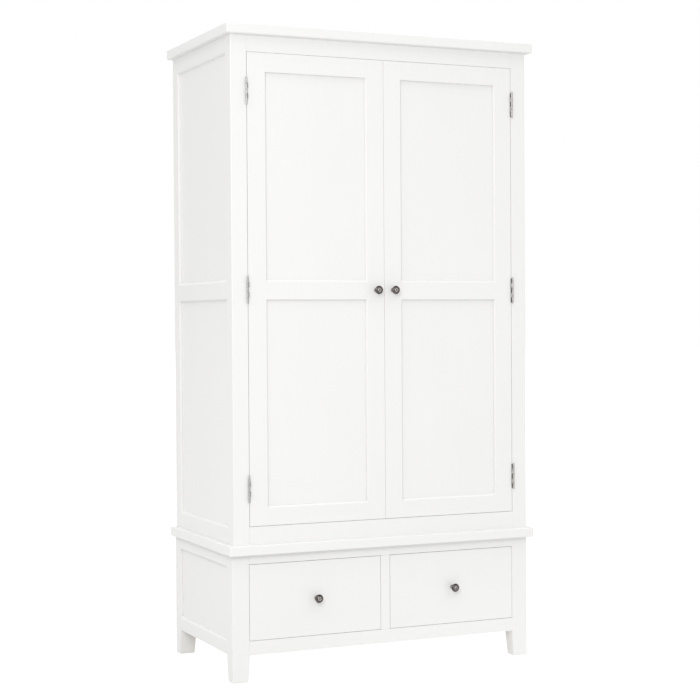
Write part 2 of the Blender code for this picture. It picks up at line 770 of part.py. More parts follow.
def build_drawer(side, sign):
    """A drawer box: an inset front, two sides, a back and a captive bottom, with its knob."""
    front_x = (DRAWER_HOLE_INNER + DRAWER_GAP, DRAWER_HOLE_OUTER - DRAWER_GAP)
    front_y = (BASE_FRONT, BASE_FRONT + DRAWER_FRONT_THICK)
    front_z = (DRAWER_HOLE_BOTTOM + DRAWER_GAP, DRAWER_HOLE_TOP - DRAWER_GAP)
    box_x = (front_x[0] + DRAWER_SIDE_INSET, front_x[1] - DRAWER_SIDE_INSET)
    inside_x = (box_x[0] + DRAWER_SIDE_THICK, box_x[1] - DRAWER_SIDE_THICK)
    bottom_z = (DRAWER_BOTTOM_LEVEL, DRAWER_BOTTOM_LEVEL + DRAWER_BOTTOM_THICK)
    groove_z = (bottom_z[0] - TOUCH, bottom_z[1] + TOUCH)
    groove_x = (inside_x[0] - DRAWER_GROOVE_DEPTH, inside_x[1] + DRAWER_GROOVE_DEPTH)
    groove_front = front_y[1] - DRAWER_GROOVE_DEPTH
    side_y = (front_y[1] + TOUCH, DRAWER_REAR)
    side_z = (DRAWER_SIDE_BOTTOM, DRAWER_SIDE_TOP)

    front = block(f"{side}_drawer_front", outward(sign, *front_x), front_y, front_z)
    cut_block(front, "groove", outward(sign, *groove_x), (groove_front, front_y[1] + PAST), groove_z)
    pieces = [front]
    walls = (
        ("inner", (box_x[0], inside_x[0]), (groove_x[0], inside_x[0] + PAST)),
        ("outer", (inside_x[1], box_x[1]), (inside_x[1] - PAST, groove_x[1])),
    )
    for label, wall_x, cut_x in walls:
        wall = block(f"{side}_drawer_{label}_side", outward(sign, *wall_x), side_y, side_z, DRAWER_WOOD)
        cut_block(wall, "groove", outward(sign, *cut_x), (side_y[0] - PAST, side_y[1] + PAST), groove_z)
        pieces.append(wall)
    pieces.append(
        block(
            f"{side}_drawer_back",
            outward(sign, inside_x[0] + TOUCH, inside_x[1] - TOUCH),
            (DRAWER_REAR - DRAWER_SIDE_THICK, DRAWER_REAR),
            (groove_z[1], DRAWER_BACK_TOP),
            DRAWER_WOOD,
        )
    )
    pieces.append(
        block(
            f"{side}_drawer_bottom",
            outward(sign, groove_x[0] + TOUCH, groove_x[1] - TOUCH),
            (groove_front + TOUCH, DRAWER_REAR),
            bottom_z,
            DRAWER_WOOD,
        )
    )
    pieces.append(
        build_knob(
            f"{side}_drawer_knob", front, sign * DRAWER_KNOB_X, front_y[0], DRAWER_KNOB_Z, DRAWER_FRONT_THICK
        )
    )
    hang_on(pivot(f"{side}_drawer_place", (sign * DRAWER_KNOB_X, BASE_FRONT, DRAWER_KNOB_Z)), pieces)


clear_scene()
PIECES = new_collection("wardrobe")
TOOLS = new_collection("shaping_tools")
build_boards()
build_upper_posts()
build_upper_sides()
build_upper_front()
build_hanging_rail()
build_catch()
build_legs()
build_base_frame()
build_runner_frame()
for door_side, door_sign in SIDES:
    build_door(door_side, door_sign)
for drawer_side, drawer_sign in SIDES:
    build_drawer(drawer_side, drawer_sign)
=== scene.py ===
"""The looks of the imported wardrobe: fine meshes, painted wood, metal, and a plain white studio.

Every piece is modelled in the frame's own coordinates, its object at the origin, and rides on a CAD body.
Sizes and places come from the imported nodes' boxes; the constants below are details that these don't hold.
"""

import json
import math
import random

import bmesh
import bpy
from mathutils import Matrix, Vector


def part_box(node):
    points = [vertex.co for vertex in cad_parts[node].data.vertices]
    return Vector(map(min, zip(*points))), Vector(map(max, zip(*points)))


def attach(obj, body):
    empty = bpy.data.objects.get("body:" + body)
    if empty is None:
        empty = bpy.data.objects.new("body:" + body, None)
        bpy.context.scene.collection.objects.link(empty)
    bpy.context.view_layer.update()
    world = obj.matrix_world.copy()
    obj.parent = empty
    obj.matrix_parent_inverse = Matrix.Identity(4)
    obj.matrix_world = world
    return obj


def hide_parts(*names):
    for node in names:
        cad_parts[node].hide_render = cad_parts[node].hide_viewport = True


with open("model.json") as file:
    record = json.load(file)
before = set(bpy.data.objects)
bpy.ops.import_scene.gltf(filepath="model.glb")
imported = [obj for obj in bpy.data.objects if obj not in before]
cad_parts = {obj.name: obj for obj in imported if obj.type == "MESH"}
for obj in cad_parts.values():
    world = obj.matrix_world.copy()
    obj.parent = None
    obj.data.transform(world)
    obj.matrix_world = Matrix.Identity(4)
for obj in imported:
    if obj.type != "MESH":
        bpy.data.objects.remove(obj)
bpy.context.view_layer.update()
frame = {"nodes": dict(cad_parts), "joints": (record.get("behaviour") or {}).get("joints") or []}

SIDES = (("left", -1), ("right", 1))
LEVELS = ("lower", "middle", "upper")
AXES = {"x": 0, "y": 1, "z": 2}
EVEN = (1.0, 1.0, 1.0)
WHITE = (1.0, 1.0, 1.0)

# Clearances and tolerances: OVERCUT is how far a cutter runs past the wood; places closer than SAME are one.
TOUCH = 0.0003
FIT = 0.00024
OVERCUT = 0.01
SAME = 0.0001
MERGE = 0.000002
NEAR = 0.001
ALONG = 0.9

# Edge radii of the woodwork.
BOARD_ROUND = 0.0034
CORNER_ROUND = 0.0026
REAR_CORNER_ROUND = CORNER_ROUND * 0.5
ARRIS = 0.0008
FIELD_EDGE = 0.0007
END_EDGE = 0.0004
FOOT_EDGE = 0.0030
ROUND_SEGMENTS = 4
SHARP_ANGLE = math.radians(35)
NORMAL_WEIGHT = 80
GRAIN_SHIFT = 20.0
KNEE_ZONE = 0.01

# Frames, panels and drawers. A moulding's shares are for its upright, lower and upper edges.
JOINT_GAP = 0.00006
DOOR_TONGUE = 0.0077
DOOR_MOULDING = 0.0034
SIDE_MOULDING = 0.0046
MOULDING_EASE = (0.0012, 0.00025)
DOOR_MOULDING_SHARES = (1.0, 1.25, 0.3)
SIDE_MOULDING_SHARES = (0.1, 1.25, 0.7)
SIDE_TONGUE = 0.006
BACK_BOARD_PITCH = 0.102
BACK_V_DEPTH = 0.0016
GROOVE_GAP = TOUCH * 0.7
BACK_SCREW_INSET = 0.008
BACK_SCREW_END = 0.03
BACK_SCREW_PITCH = 0.22
RUNNER_WIDTH = 0.045
RUNNER_CROSS = 0.052
TAIL_LENGTH = 0.012
TAIL_DEPTH = 0.0115
TAIL_COUNT = 5
TAIL_SHARES = (0.30, 0.40)
TAIL_MARGINS = (0.006, 0.004)
SOCKET_GROWTH = (1.02, 1.0, 1.02, 1.0)

# Hinges.
KNUCKLES = 5
DOOR_KNUCKLES = (1, 3)
BARREL_RADIUS = 0.0024
BALL_RADIUS = 0.0021
PIN_RADIUS = 0.0013
BORE_RADIUS = 0.00148
LEAF_THICK = 0.0018
LEAF_CORNER = 0.0022
LEAF_EDGE = 0.00018
LEAF_START = 0.0006
ARM_REACH = 0.0025
ARM_OVERLAP = 0.001
ARM_CLEARANCE = 0.0002
BALL_NECK = 0.0020
BALL_NECK_HEIGHT = 0.0006
BALL_ANGLES = range(0, 135, 15)
BARREL_SHOULDER = 0.0005
KNUCKLE_EASE = 0.0003
KNUCKLE_CREST = 0.0004
BALL_FLATTENING = 0.62
HINGE_SCREW_INSET = 0.0085
SCREW_LEVELS = (-0.027, 0.0, 0.027)

# Screws. A recess is its arms' half length and half width, its floor and its top.
SCREW_HEAD_RADIUS = 0.0032
SCREW_CORE = 0.55
FLAT_HEAD_DEPTH = 0.0015
FLAT_HEAD_RIM = 0.0003
FLAT_HEAD_EASE = 0.0001
FLAT_RECESS = (SCREW_HEAD_RADIUS * SCREW_CORE, 0.00042, -0.0009, 0.001)
COUNTERSINK_RADIUS = SCREW_HEAD_RADIUS + 0.00015
COUNTERSINK_SPAN = (0.001, -0.0004)
DOME_RADIUS = 0.0038
DOME_HEIGHT = 0.0021
DOME_RIM = 0.0004
DOME_STEPS = 8
DOME_RECESS = (0.0019, 0.0004, 0.0008, 0.004)

# Hanging rail and its cups.
RAIL_WALL = 0.0015
RAIL_EASE = 0.0004
CUP_FLOOR = 0.004
CUP_BORE = 0.0129
CUP_RADIUS = 0.0165
CUP_EASE = 0.0008
CUP_SHOULDER = 0.0048
CUP_FLANGE = ((0.86, 0.0038), (1.0, 0.0018), (1.0, 0.0))
CUP_SCREW_CIRCLE = 0.0222
CUP_SCREW_ANGLES = (90, 210, 330)
CUP_SCREW_FACE = 0.0044

# Magnetic catch. Depths are from the catch's face or the door's back, levels from the catch's lower end.
CATCH_EASE = 0.0012
CATCH_CENTRES = (-0.016, 0.016)
CATCH_STANDOFF = 0.002
SLOT_HALF = 0.0095
SLOT_DEPTHS = (-0.002, 0.004)
SLOT_LEVELS = (0.003, 0.0135)
POLE_HALF = 0.009
POLE_DEPTHS = (-0.0003, 0.0038)
POLE_LEVELS = (0.0045, 0.0105)
POLE_THICK = 0.0016
POLE_EASE = 0.0003
PLATE_DEPTHS = (0.0001, 0.0012)
PLATE_LEVELS = (0.001, 0.0155)
PLATE_EASE = 0.0004
CATCH_SCREW_X = 0.022
CATCH_SCREW_DROP = 0.010

# Knobs and their bolts.
KNOB_REACH = 0.0131
BOLT_RADIUS = 0.0020
BOLT_BORE = 0.0026
BOLT_HEAD_RADIUS = 0.0046
BOLT_HEAD_EASE = 0.0006
BOLT_HEAD_CREST = 0.8
BOLT_LIFT = 0.0002
BOLT_RECESS = (BOLT_HEAD_RADIUS * 0.62, 0.00045)
BOLT_RECESS_DEPTH = 0.0011

# Turning: steps round a piece, and the most of an edge that a softened corner may take.
KNOB_SEGMENTS = 64
HINGE_SEGMENTS = 40
RAIL_SEGMENTS = 72
BORE_SEGMENTS = 32
SCREW_SEGMENTS = 28
CORNER_SHARE = 0.45


# ---------------------------------------------------------------- materials


def new_material(name, roughness, metallic=0.0):
    """A Principled material and the tools to add nodes to it."""
    material = bpy.data.materials.new(name)
    material.use_nodes = True
    tree = material.node_tree
    shader = tree.nodes["Principled BSDF"]
    shader.inputs["Roughness"].default_value = roughness
    shader.inputs["Metallic"].default_value = metallic
    return material, tree, shader


def add_node(tree, kind, **settings):
    """A node with its properties and input values set by name."""
    node = tree.nodes.new(kind)
    for key, value in settings.items():
        if hasattr(node, key):
            setattr(node, key, value)
        else:
            node.inputs[key.replace("_", " ")].default_value = value
    return node


def attribute(tree, name):
    """One of the mesh attributes that the pieces carry."""
    return add_node(tree, "ShaderNodeAttribute", attribute_name=name).outputs["Vector"]


def object_place(tree):
    """The place of a point in the piece's own coordinates."""
    return add_node(tree, "ShaderNodeTexCoord").outputs["Object"]


def stretched_noise(tree, source, stretch, scale, detail=3.0, roughness=0.5, distortion=0.0):
    """Noise over a stretched copy of a vector."""
    mapping = add_node(tree, "ShaderNodeMapping", Scale=stretch)
    noise = add_node(
        tree, "ShaderNodeTexNoise", Scale=scale, Detail=detail, Roughness=roughness, Distortion=distortion,
    )
    tree.links.new(source, mapping.inputs["Vector"])
    tree.links.new(mapping.outputs["Vector"], noise.inputs["Vector"])
    return noise.outputs["Fac"]


def ramp(tree, factor, stops):
    """A colour ramp with (position, colour) stops."""
    node = add_node(tree, "ShaderNodeValToRGB")
    elements = node.color_ramp.elements
    while len(elements) < len(stops):
        elements.new(0.5)
    for element, (position, colour) in zip(elements, stops):
        element.position = position
        element.color = (*colour, 1.0)
    tree.links.new(factor, node.inputs["Fac"])
    return node.outputs["Color"]


def remap(tree, value, target=(0.0, 1.0), source=(0.0, 1.0), kind="LINEAR"):
    """Turns a value that runs over the source span into one that runs over the target span."""
    node = add_node(
        tree, "ShaderNodeMapRange", interpolation_type=kind, From_Min=source[0], From_Max=source[1],
        To_Min=target[0], To_Max=target[1],
    )
    tree.links.new(value, node.inputs["Value"])
    return node.outputs["Result"]


def separated(tree, vector):
    """The X, Y and Z outputs of a vector."""
    split = add_node(tree, "ShaderNodeSeparateXYZ")
    tree.links.new(vector, split.inputs["Vector"])
    return split.outputs["X"], split.outputs["Y"], split.outputs["Z"]


def mix_colours(tree, factor, first, second, blend="MIX"):
    """Blends two colours, or multiplies one by the other."""
    node = add_node(tree, "ShaderNodeMix", data_type="RGBA", blend_type=blend)
    if isinstance(factor, float):
        node.inputs[0].default_value = factor
    else:
        tree.links.new(factor, node.inputs[0])
    tree.links.new(first, node.inputs[6])
    tree.links.new(second, node.inputs[7])
    return node.outputs[2]


def product(tree, colour, *others):
    """Multiplies colours by one another."""
    for other in others:
        colour = mix_colours(tree, 1.0, colour, other, "MULTIPLY")
    return colour


def bumps(tree, *layers):
    """Bump layers, each a (height, distance, strength), laid on top of one another."""
    below = None
    for height, distance, strength in layers:
        node = add_node(tree, "ShaderNodeBump", Distance=distance, Strength=strength)
        tree.links.new(height, node.inputs["Height"])
        if below is not None:
            tree.links.new(below, node.inputs["Normal"])
        below = node.outputs["Normal"]
    return below


def dress(tree, shader, colour, roughness, normal):
    """Links a material's colour, roughness and bumps to its shader."""
    for socket, source in (("Base Color", colour), ("Roughness", roughness), ("Normal", normal)):
        tree.links.new(source, shader.inputs[socket])


def paint_material():
    """Satin white paint over timber: brush marks and a ghost of the grain along each board."""
    material, tree, shader = new_material("white_satin_paint", 0.42)
    grain = attribute(tree, "grain")
    cloud = stretched_noise(tree, grain, (0.5, 1.0, 1.0), 5.0, 2.0)
    streak = stretched_noise(tree, grain, (0.05, 1.0, 1.0), 190.0, 3.0, 0.6)
    brush = stretched_noise(tree, grain, (0.02, 1.0, 1.0), 900.0, 2.0, 0.5)
    figure = stretched_noise(tree, grain, (0.08, 1.0, 1.0), 55.0, 4.0, 0.55, 0.6)
    peel = stretched_noise(tree, grain, EVEN, 1400.0, 1.0)
    tone = ramp(tree, cloud, ((0.30, (0.820, 0.818, 0.808)), (0.70, (0.830, 0.828, 0.818))))
    marks = ramp(tree, streak, ((0.35, (0.994, 0.994, 0.993)), (0.65, WHITE)))
    layers = bumps(tree, (figure, 0.00020, 0.12), (brush, 0.00006, 0.22), (peel, 0.00003, 0.20))
    dress(tree, shader, product(tree, tone, marks), remap(tree, streak, (0.36, 0.50)), layers)
    shader.inputs["Coat Weight"].default_value = 0.10
    shader.inputs["Coat Roughness"].default_value = 0.28
    return material


def timber_material(name, pale, dark, pore):
    """Clear-lacquered pale timber with growth bands, fibres and open pores."""
    material, tree, shader = new_material(name, 0.5)
    grain = attribute(tree, "grain")
    warp = stretched_noise(tree, grain, (0.25, 1.0, 1.0), 6.0, 2.0)
    bands_source = add_node(tree, "ShaderNodeVectorMath", operation="MULTIPLY_ADD")
    bands_source.inputs[1].default_value = (0.05, 1.0, 0.35)
    tree.links.new(grain, bands_source.inputs[0])
    tree.links.new(warp, bands_source.inputs[2])
    wave = add_node(
        tree, "ShaderNodeTexWave", wave_type="BANDS", bands_direction="Y", Scale=16.0, Distortion=2.2,
        Detail=3.0, Detail_Scale=1.4,
    )
    tree.links.new(bands_source.outputs["Vector"], wave.inputs["Vector"])
    fibre = stretched_noise(tree, grain, (0.03, 1.0, 1.0), 420.0, 4.0, 0.6)
    pores = stretched_noise(tree, grain, (0.05, 1.0, 1.0), 1100.0, 1.0, 0.5)
    cloud = stretched_noise(tree, grain, (0.4, 1.0, 1.0), 7.0, 2.0)
    bands = ramp(tree, wave.outputs["Fac"], ((0.0, dark), (0.55, pale), (1.0, pale)))
    soft = ramp(tree, fibre, ((0.30, (0.86, 0.84, 0.80)), (0.70, WHITE)))
    spots = ramp(tree, pores, ((0.24, pore), (0.36, WHITE)))
    wide = ramp(tree, cloud, ((0.30, (0.92, 0.90, 0.88)), (0.70, WHITE)))
    layers = bumps(tree, (fibre, 0.00015, 0.35), (pores, 0.00015, 0.25))
    dress(tree, shader, product(tree, bands, soft, spots, wide), remap(tree, fibre, (0.42, 0.62)), layers)
    return material


def pewter_material():
    """Antique pewter on the turned knobs: dark in the hollows, partly patina and partly painted shade, with
    a painted highlight on the raised ring, painted shade on the rim and over the top, and painted reflection
    bands down the neck.
    """
    material, tree, shader = new_material("antique_pewter", 0.25, 1.0)
    turning = attribute(tree, "turned")
    place = object_place(tree)
    radius, share, height = separated(tree, turning)
    blotch = stretched_noise(tree, place, EVEN, 300.0, 4.0, 0.65)
    lathe = stretched_noise(tree, turning, (1.0, 1.0, 0.0), 5200.0, 1.0)
    # Tones by radius: the dark centre and groove are partly patina and partly painted shade, the bright
    # raised ring is a painted highlight, and the darker rim is painted shade.
    across = ramp(
        tree,
        remap(tree, radius, source=(0.0, KNOB_REACH)),
        (
            (0.00, (0.150, 0.134, 0.130)),
            (0.16, (0.230, 0.212, 0.206)),
            (0.28, (0.600, 0.575, 0.560)),
            (0.38, (0.560, 0.535, 0.520)),
            (0.48, (0.080, 0.070, 0.067)),
            (0.60, (0.220, 0.193, 0.186)),
            (0.76, (0.200, 0.175, 0.168)),
            (0.90, (0.130, 0.112, 0.108)),
        ),
    )
    # Tones down the neck, by share of the knob's height: lighter and darker bands that are painted
    # reflections.
    back = ramp(
        tree,
        share,
        (
            (0.00, (0.50, 0.48, 0.46)),
            (0.20, (0.34, 0.32, 0.305)),
            (0.45, (0.60, 0.58, 0.56)),
            (0.75, (0.30, 0.27, 0.26)),
        ),
    )
    tone = mix_colours(tree, remap(tree, share, source=(0.80, 0.86)), back, across)
    # Painted shade over the upper part of each knob, darker towards the top.
    painted_top_shade = ramp(tree, height, ((0.62, WHITE), (0.86, (0.16, 0.15, 0.145))))
    patina = ramp(tree, blotch, ((0.38, (0.45, 0.44, 0.43)), (0.56, WHITE)))
    layers = bumps(tree, (lathe, 0.00004, 0.35), (blotch, 0.00012, 0.30))
    dress(tree, shader, product(tree, tone, painted_top_shade, patina), remap(tree, blotch, (0.16, 0.36)), layers)
    return material


def metal_material(name, colour, dark, roughness, scratch_scale, wear):
    """Plated steel with faint brushing and tarnish."""
    material, tree, shader = new_material(name, roughness, 1.0)
    place = object_place(tree)
    tarnish = stretched_noise(tree, place, EVEN, 140.0, 4.0, 0.6)
    scratch = stretched_noise(tree, place, (1.0, 1.0, 0.03), scratch_scale, 2.0, 0.5)
    tone = ramp(tree, tarnish, ((0.32, dark), (0.62, colour)))
    polish = remap(tree, scratch, (roughness - wear, roughness + wear))
    dress(tree, shader, tone, polish, bumps(tree, (scratch, 0.00003, 0.30)))
    return material


def plastic_material():
    """White moulded plastic with a fine spark-eroded skin."""
    material, tree, shader = new_material("catch_plastic_white", 0.45)
    place = object_place(tree)
    skin = stretched_noise(tree, place, EVEN, 2600.0, 2.0)
    cloud = stretched_noise(tree, place, EVEN, 60.0, 2.0)
    tone = ramp(tree, cloud, ((0.35, (0.74, 0.73, 0.70)), (0.65, (0.80, 0.79, 0.765))))
    dress(tree, shader, tone, remap(tree, skin, (0.38, 0.55)), bumps(tree, (skin, 0.00004, 0.4)))
    return material


PAINT = paint_material()
TIMBER = timber_material("drawer_timber", (0.71, 0.61, 0.48), (0.59, 0.48, 0.35), (0.70, 0.63, 0.55))
PLY = timber_material("drawer_ply_face", (0.74, 0.64, 0.51), (0.65, 0.55, 0.42), (0.78, 0.72, 0.66))
PEWTER = pewter_material()
NICKEL = metal_material("hinge_nickel", (0.62, 0.61, 0.59), (0.42, 0.41, 0.40), 0.42, 700.0, 0.06)
CHROME = metal_material("rail_chrome_plate", (0.80, 0.80, 0.81), (0.72, 0.72, 0.73), 0.10, 500.0, 0.04)
ZINC = metal_material("screw_zinc", (0.62, 0.61, 0.58), (0.42, 0.41, 0.39), 0.32, 900.0, 0.10)
PLASTIC = plastic_material()


# ---------------------------------------------------------------- mesh tools


def add_hidden(name, mesh):
    """An object that is only used to work out a mesh."""
    made = bpy.data.objects.new(name, mesh)
    bpy.context.scene.collection.objects.link(made)
    return made


def resolve(obj):
    """The mesh of an object with its modifiers applied. The object is removed."""
    bpy.context.view_layer.update()
    evaluated = obj.evaluated_get(bpy.context.evaluated_depsgraph_get())
    mesh = bpy.data.meshes.new_from_object(evaluated)
    bpy.data.objects.remove(obj, do_unlink=True)
    return mesh


def mesh_from(shape):
    """Turns a bmesh into a mesh and frees it."""
    bmesh.ops.recalc_face_normals(shape, faces=shape.faces)
    mesh = bpy.data.meshes.new("shape")
    shape.to_mesh(mesh)
    shape.free()
    return mesh


def box_shape(low, high):
    """A bmesh box between two corners."""
    shape = bmesh.new()
    bmesh.ops.create_cube(shape, size=1.0)
    size = Vector(high) - Vector(low)
    middle = (Vector(high) + Vector(low)) / 2
    bmesh.ops.scale(shape, vec=size, verts=shape.verts)
    bmesh.ops.translate(shape, vec=middle, verts=shape.verts)
    return shape


def box_mesh(low, high):
    """A box between two corners as a mesh."""
    return mesh_from(box_shape(low, high))


def spans(x, y, z):
    """The low and high corner of a box, from its two ends along each axis in either order."""
    return tuple(zip(sorted(x), sorted(y), sorted(z)))


def join_shapes(meshes):
    """One mesh that holds several separate ones."""
    shape = bmesh.new()
    for mesh in meshes:
        shape.from_mesh(mesh)
    joined = bpy.data.meshes.new("joined")
    shape.to_mesh(joined)
    shape.free()
    return joined


def moved(mesh, matrix):
    """A copy of a mesh, moved."""
    copy = mesh.copy()
    copy.transform(matrix)
    return copy


def boolean(mesh, tool, operation="DIFFERENCE"):
    """A mesh after one exact Boolean with another."""
    piece = add_hidden("boolean_piece", mesh)
    cutter = add_hidden("boolean_tool", tool)
    modifier = piece.modifiers.new("boolean", "BOOLEAN")
    modifier.operation = operation
    modifier.solver = "EXACT"
    modifier.object = cutter
    made = resolve(piece)
    bpy.data.objects.remove(cutter, do_unlink=True)
    return made


def rounded(shape, radius_of, segments=ROUND_SEGMENTS):
    """Rounds each edge of a bmesh by the radius that radius_of(edge) gives."""
    shape.edges.ensure_lookup_table()
    radii = [max(radius_of(edge), 0.0) for edge in shape.edges]
    widest = max(radii)
    layer = shape.edges.layers.float.new("bevel_weight_edge")
    for edge, radius in zip(shape.edges, radii):
        edge[layer] = radius / widest
    piece = add_hidden("rounded_piece", mesh_from(shape))
    bevel = piece.modifiers.new("round", "BEVEL")
    bevel.width = widest
    bevel.segments = segments
    bevel.limit_method = "WEIGHT"
    bevel.use_clamp_overlap = True
    return resolve(piece)


def smooth(mesh):
    """Smooth shading that keeps flat faces flat and hard edges hard."""
    mesh.shade_smooth()
    mesh.set_sharp_from_angle(angle=SHARP_ANGLE)
    piece = add_hidden("smooth_piece", mesh)
    weighted = piece.modifiers.new("weighted", "WEIGHTED_NORMAL")
    weighted.keep_sharp = True
    weighted.weight = NORMAL_WEIGHT
    return resolve(piece)


def mark_grain(mesh, name, along):
    """Stores for each point where it lies in its own board: first along the grain, then across."""
    dice = random.Random(name)
    shift = [dice.uniform(-GRAIN_SHIFT, GRAIN_SHIFT) for _ in range(3)]
    first = AXES[along]
    order = (first, (first + 1) % 3, (first + 2) % 3)
    layer = mesh.attributes.new("grain", "FLOAT_VECTOR", "POINT")
    values = []
    for vertex in mesh.vertices:
        values += [vertex.co[axis] + offset for axis, offset in zip(order, shift)]
    layer.data.foreach_set("vector", values)


def add_piece(name, mesh, body, material, replaces=()):
    """Puts a finished mesh in the scene as a piece that rides on a body."""
    mesh.name = name
    mesh.materials.clear()
    mesh.materials.append(material)
    piece = bpy.data.objects.new(name, mesh)
    bpy.context.scene.collection.objects.link(piece)
    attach(piece, body)
    if replaces:
        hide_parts(*replaces)


def add_wood(name, mesh, body, along, replaces, material=PAINT, grain=None):
    """Adds a wooden piece with its grain along one axis, drawn for its own name or for another."""
    mesh = smooth(mesh)
    mark_grain(mesh, grain or name, along)
    add_piece(name, mesh, body, material, replaces)


def middle_and_way(edge):
    """The middle of an edge and the direction that it runs in."""
    first, second = (vertex.co for vertex in edge.verts)
    return (first + second) / 2, (second - first).normalized()


def board_edges(along, arris, ends, special=None):
    """The edge radii of a board: its long arrises, its end edges, and any special ones."""

    def radius_of(edge):
        middle, way = middle_and_way(edge)
        chosen = special(middle, way) if special is not None else None
        if chosen is not None:
            return chosen
        return arris if abs(way[AXES[along]]) > ALONG else ends

    return radius_of


def board(
    name, low, high, body, along, arris=ARRIS, ends=END_EDGE, special=None, cuts=(), replaces=(),
    material=PAINT, slot="white_paint", slant=(1, 0.0),
):
    """A board with eased edges, its grain along one axis, and boxes or meshes cut from it.

    slant is (side, distance): how far the back of the edge on the centre line's side is planed away.
    """
    shape = box_shape(low, high)
    middle = (Vector(low) + Vector(high)) / 2
    for vertex in shape.verts:
        if (vertex.co.x - middle.x) * slant[0] < 0 and vertex.co.y > middle.y:
            vertex.co.x += slant[0] * slant[1]
    mesh = rounded(shape, board_edges(along, arris, ends, special))
    for cut in cuts:
        mesh = boolean(mesh, cut if isinstance(cut, bpy.types.Mesh) else box_mesh(*cut))
    add_wood(name, mesh, body, along, replaces, material)


def turned(profile, segments, matrix, closed=False):
    """A mesh turned about local Z from (radius, height) points, top to bottom on the outside, then moved."""
    shape = bmesh.new()
    verts = [shape.verts.new((radius, 0.0, height)) for radius, height in profile]
    edges = [shape.edges.new(pair) for pair in zip(verts, verts[1:])]
    if closed:
        edges.append(shape.edges.new((verts[-1], verts[0])))
    bmesh.ops.spin(
        shape, geom=verts + edges, cent=(0, 0, 0), axis=(0, 0, 1), angle=math.tau, steps=segments,
        use_merge=True, use_normal_flip=False,
    )
    bmesh.ops.remove_doubles(shape, verts=shape.verts, dist=MERGE)
    mesh = mesh_from(shape)
    mesh.transform(matrix)
    return mesh


def mark_turned(mesh, centre, face_y, height):
    """Stores for each point of a knob its radius, its share of the height and how high it sits."""
    layer = mesh.attributes.new("turned", "FLOAT_VECTOR", "POINT")
    values = []
    for vertex in mesh.vertices:
        radius = math.hypot(vertex.co.x - centre.x, vertex.co.z - centre.z)
        values += [radius, max(face_y - vertex.co.y, 0.0) / height, (vertex.co.z - centre.z) / KNOB_REACH]
    layer.data.foreach_set("vector", values)


def soften(profile, radius, steps=3):
    """Rounds the corners of a (radius, height) outline."""
    made = [profile[0]]
    for before, corner, after in zip(profile, profile[1:], profile[2:]):
        corner, before, after = Vector(corner), Vector(before), Vector(after)
        to_before, to_after = (
            (end - corner).normalized() * min(radius, (end - corner).length * CORNER_SHARE)
            for end in (before, after)
        )
        for step in range(steps + 1):
            t = step / steps
            point = corner + to_before * (1 - t) ** 2 + to_after * t ** 2
            made.append((point.x, point.y))
    made.append(profile[-1])
    return made


def facing(origin, direction):
    """A matrix that puts local Z along a direction, at a place."""
    turn = Vector(direction).to_track_quat("Z", "Y").to_matrix().to_4x4()
    return Matrix.Translation(Vector(origin)) @ turn


def grown(box, by):
    """A box made larger by the same amount all round."""
    low, high = box
    return Vector(low) - Vector((by,) * 3), Vector(high) + Vector((by,) * 3)


def faces_x(box, sign):
    """Where the inner and the outer face of a box on one side of the wardrobe lie."""
    low, high = box
    return (low.x, high.x) if sign > 0 else (high.x, low.x)


def fitted(node, axes):
    """The box of a CAD node, with its ends carried on along some axes to meet the pieces it is joined to."""
    low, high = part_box(node)
    for name in axes:
        low[AXES[name]] -= 0.0 if name == "z" and low.z < TOUCH else FIT
        high[AXES[name]] += FIT
    return low, high


def levels_of(node, axis):
    """The different coordinates of a CAD node's points along an axis, from low to high."""
    values = sorted(vertex.co[AXES[axis]] for vertex in frame["nodes"][node].data.vertices)
    found = []
    for value in values:
        if not found or value - found[-1] > SAME:
            found.append(value)
    return found


def moulding_cutter(low, high, axis, face, inward, size, shares):
    """The waste of an eased chamfer round a frame's opening, mitred at the corners.

    low and high span the opening; face is where the frame's front lies along the axis, inward +1 or -1.
    shares are the chamfer's width against its depth on the upright edges, the lower and the upper edge.
    """
    upright, lower, upper = shares
    across, up = [index for index in range(3) if index != AXES[axis]]
    reach, step = MOULDING_EASE
    shape = bmesh.new()
    loops = []
    for offset, depth in ((size + reach, -step), (size, step), (step, size), (-step, size + reach)):
        loop = []
        u_span = (low[across] - offset * upright, high[across] + offset * upright)
        v_span = (low[up] - offset * lower, high[up] + offset * upper)
        for u, v in (
            (u_span[0], v_span[0]), (u_span[1], v_span[0]), (u_span[1], v_span[1]), (u_span[0], v_span[1]),
        ):
            point = Vector()
            point[across], point[up], point[AXES[axis]] = u, v, face + inward * depth
            loop.append(shape.verts.new(point))
        loops.append(loop)
    for outer, inner in zip(loops, loops[1:]):
        for index in range(4):
            following = (index + 1) % 4
            shape.faces.new((outer[index], outer[following], inner[following], inner[index]))
    shape.faces.new(loops[0])
    shape.faces.new(loops[-1])
    return mesh_from(shape)


# ---------------------------------------------------------------- screws


def cross_recess(centre, half_length, half_width, floor, top, axis="z"):
    """The waste of a cross recess about a centre, between two levels along the screw's axis."""
    arms = []
    for first, second in ((half_length, half_width), (half_width, half_length)):
        flat = [(middle - half, middle + half) for middle, half in zip(centre, (first, second))]
        flat.insert(AXES[axis], (floor, top))
        arms.append(box_mesh(*spans(*flat)))
    return boolean(*arms, "UNION")


def countersunk_screw():
    """A flat screw head with a cross recess, its face at local Z 0 and looking along +Z."""
    core = SCREW_HEAD_RADIUS * SCREW_CORE
    outline = (
        (0.0, 0.0), (SCREW_HEAD_RADIUS, 0.0), (SCREW_HEAD_RADIUS, -FLAT_HEAD_RIM), (core, -FLAT_HEAD_DEPTH),
        (0.0, -FLAT_HEAD_DEPTH),
    )
    head = turned(soften(outline, FLAT_HEAD_EASE), SCREW_SEGMENTS, Matrix.Identity(4))
    return boolean(head, cross_recess((0.0, 0.0), *FLAT_RECESS))


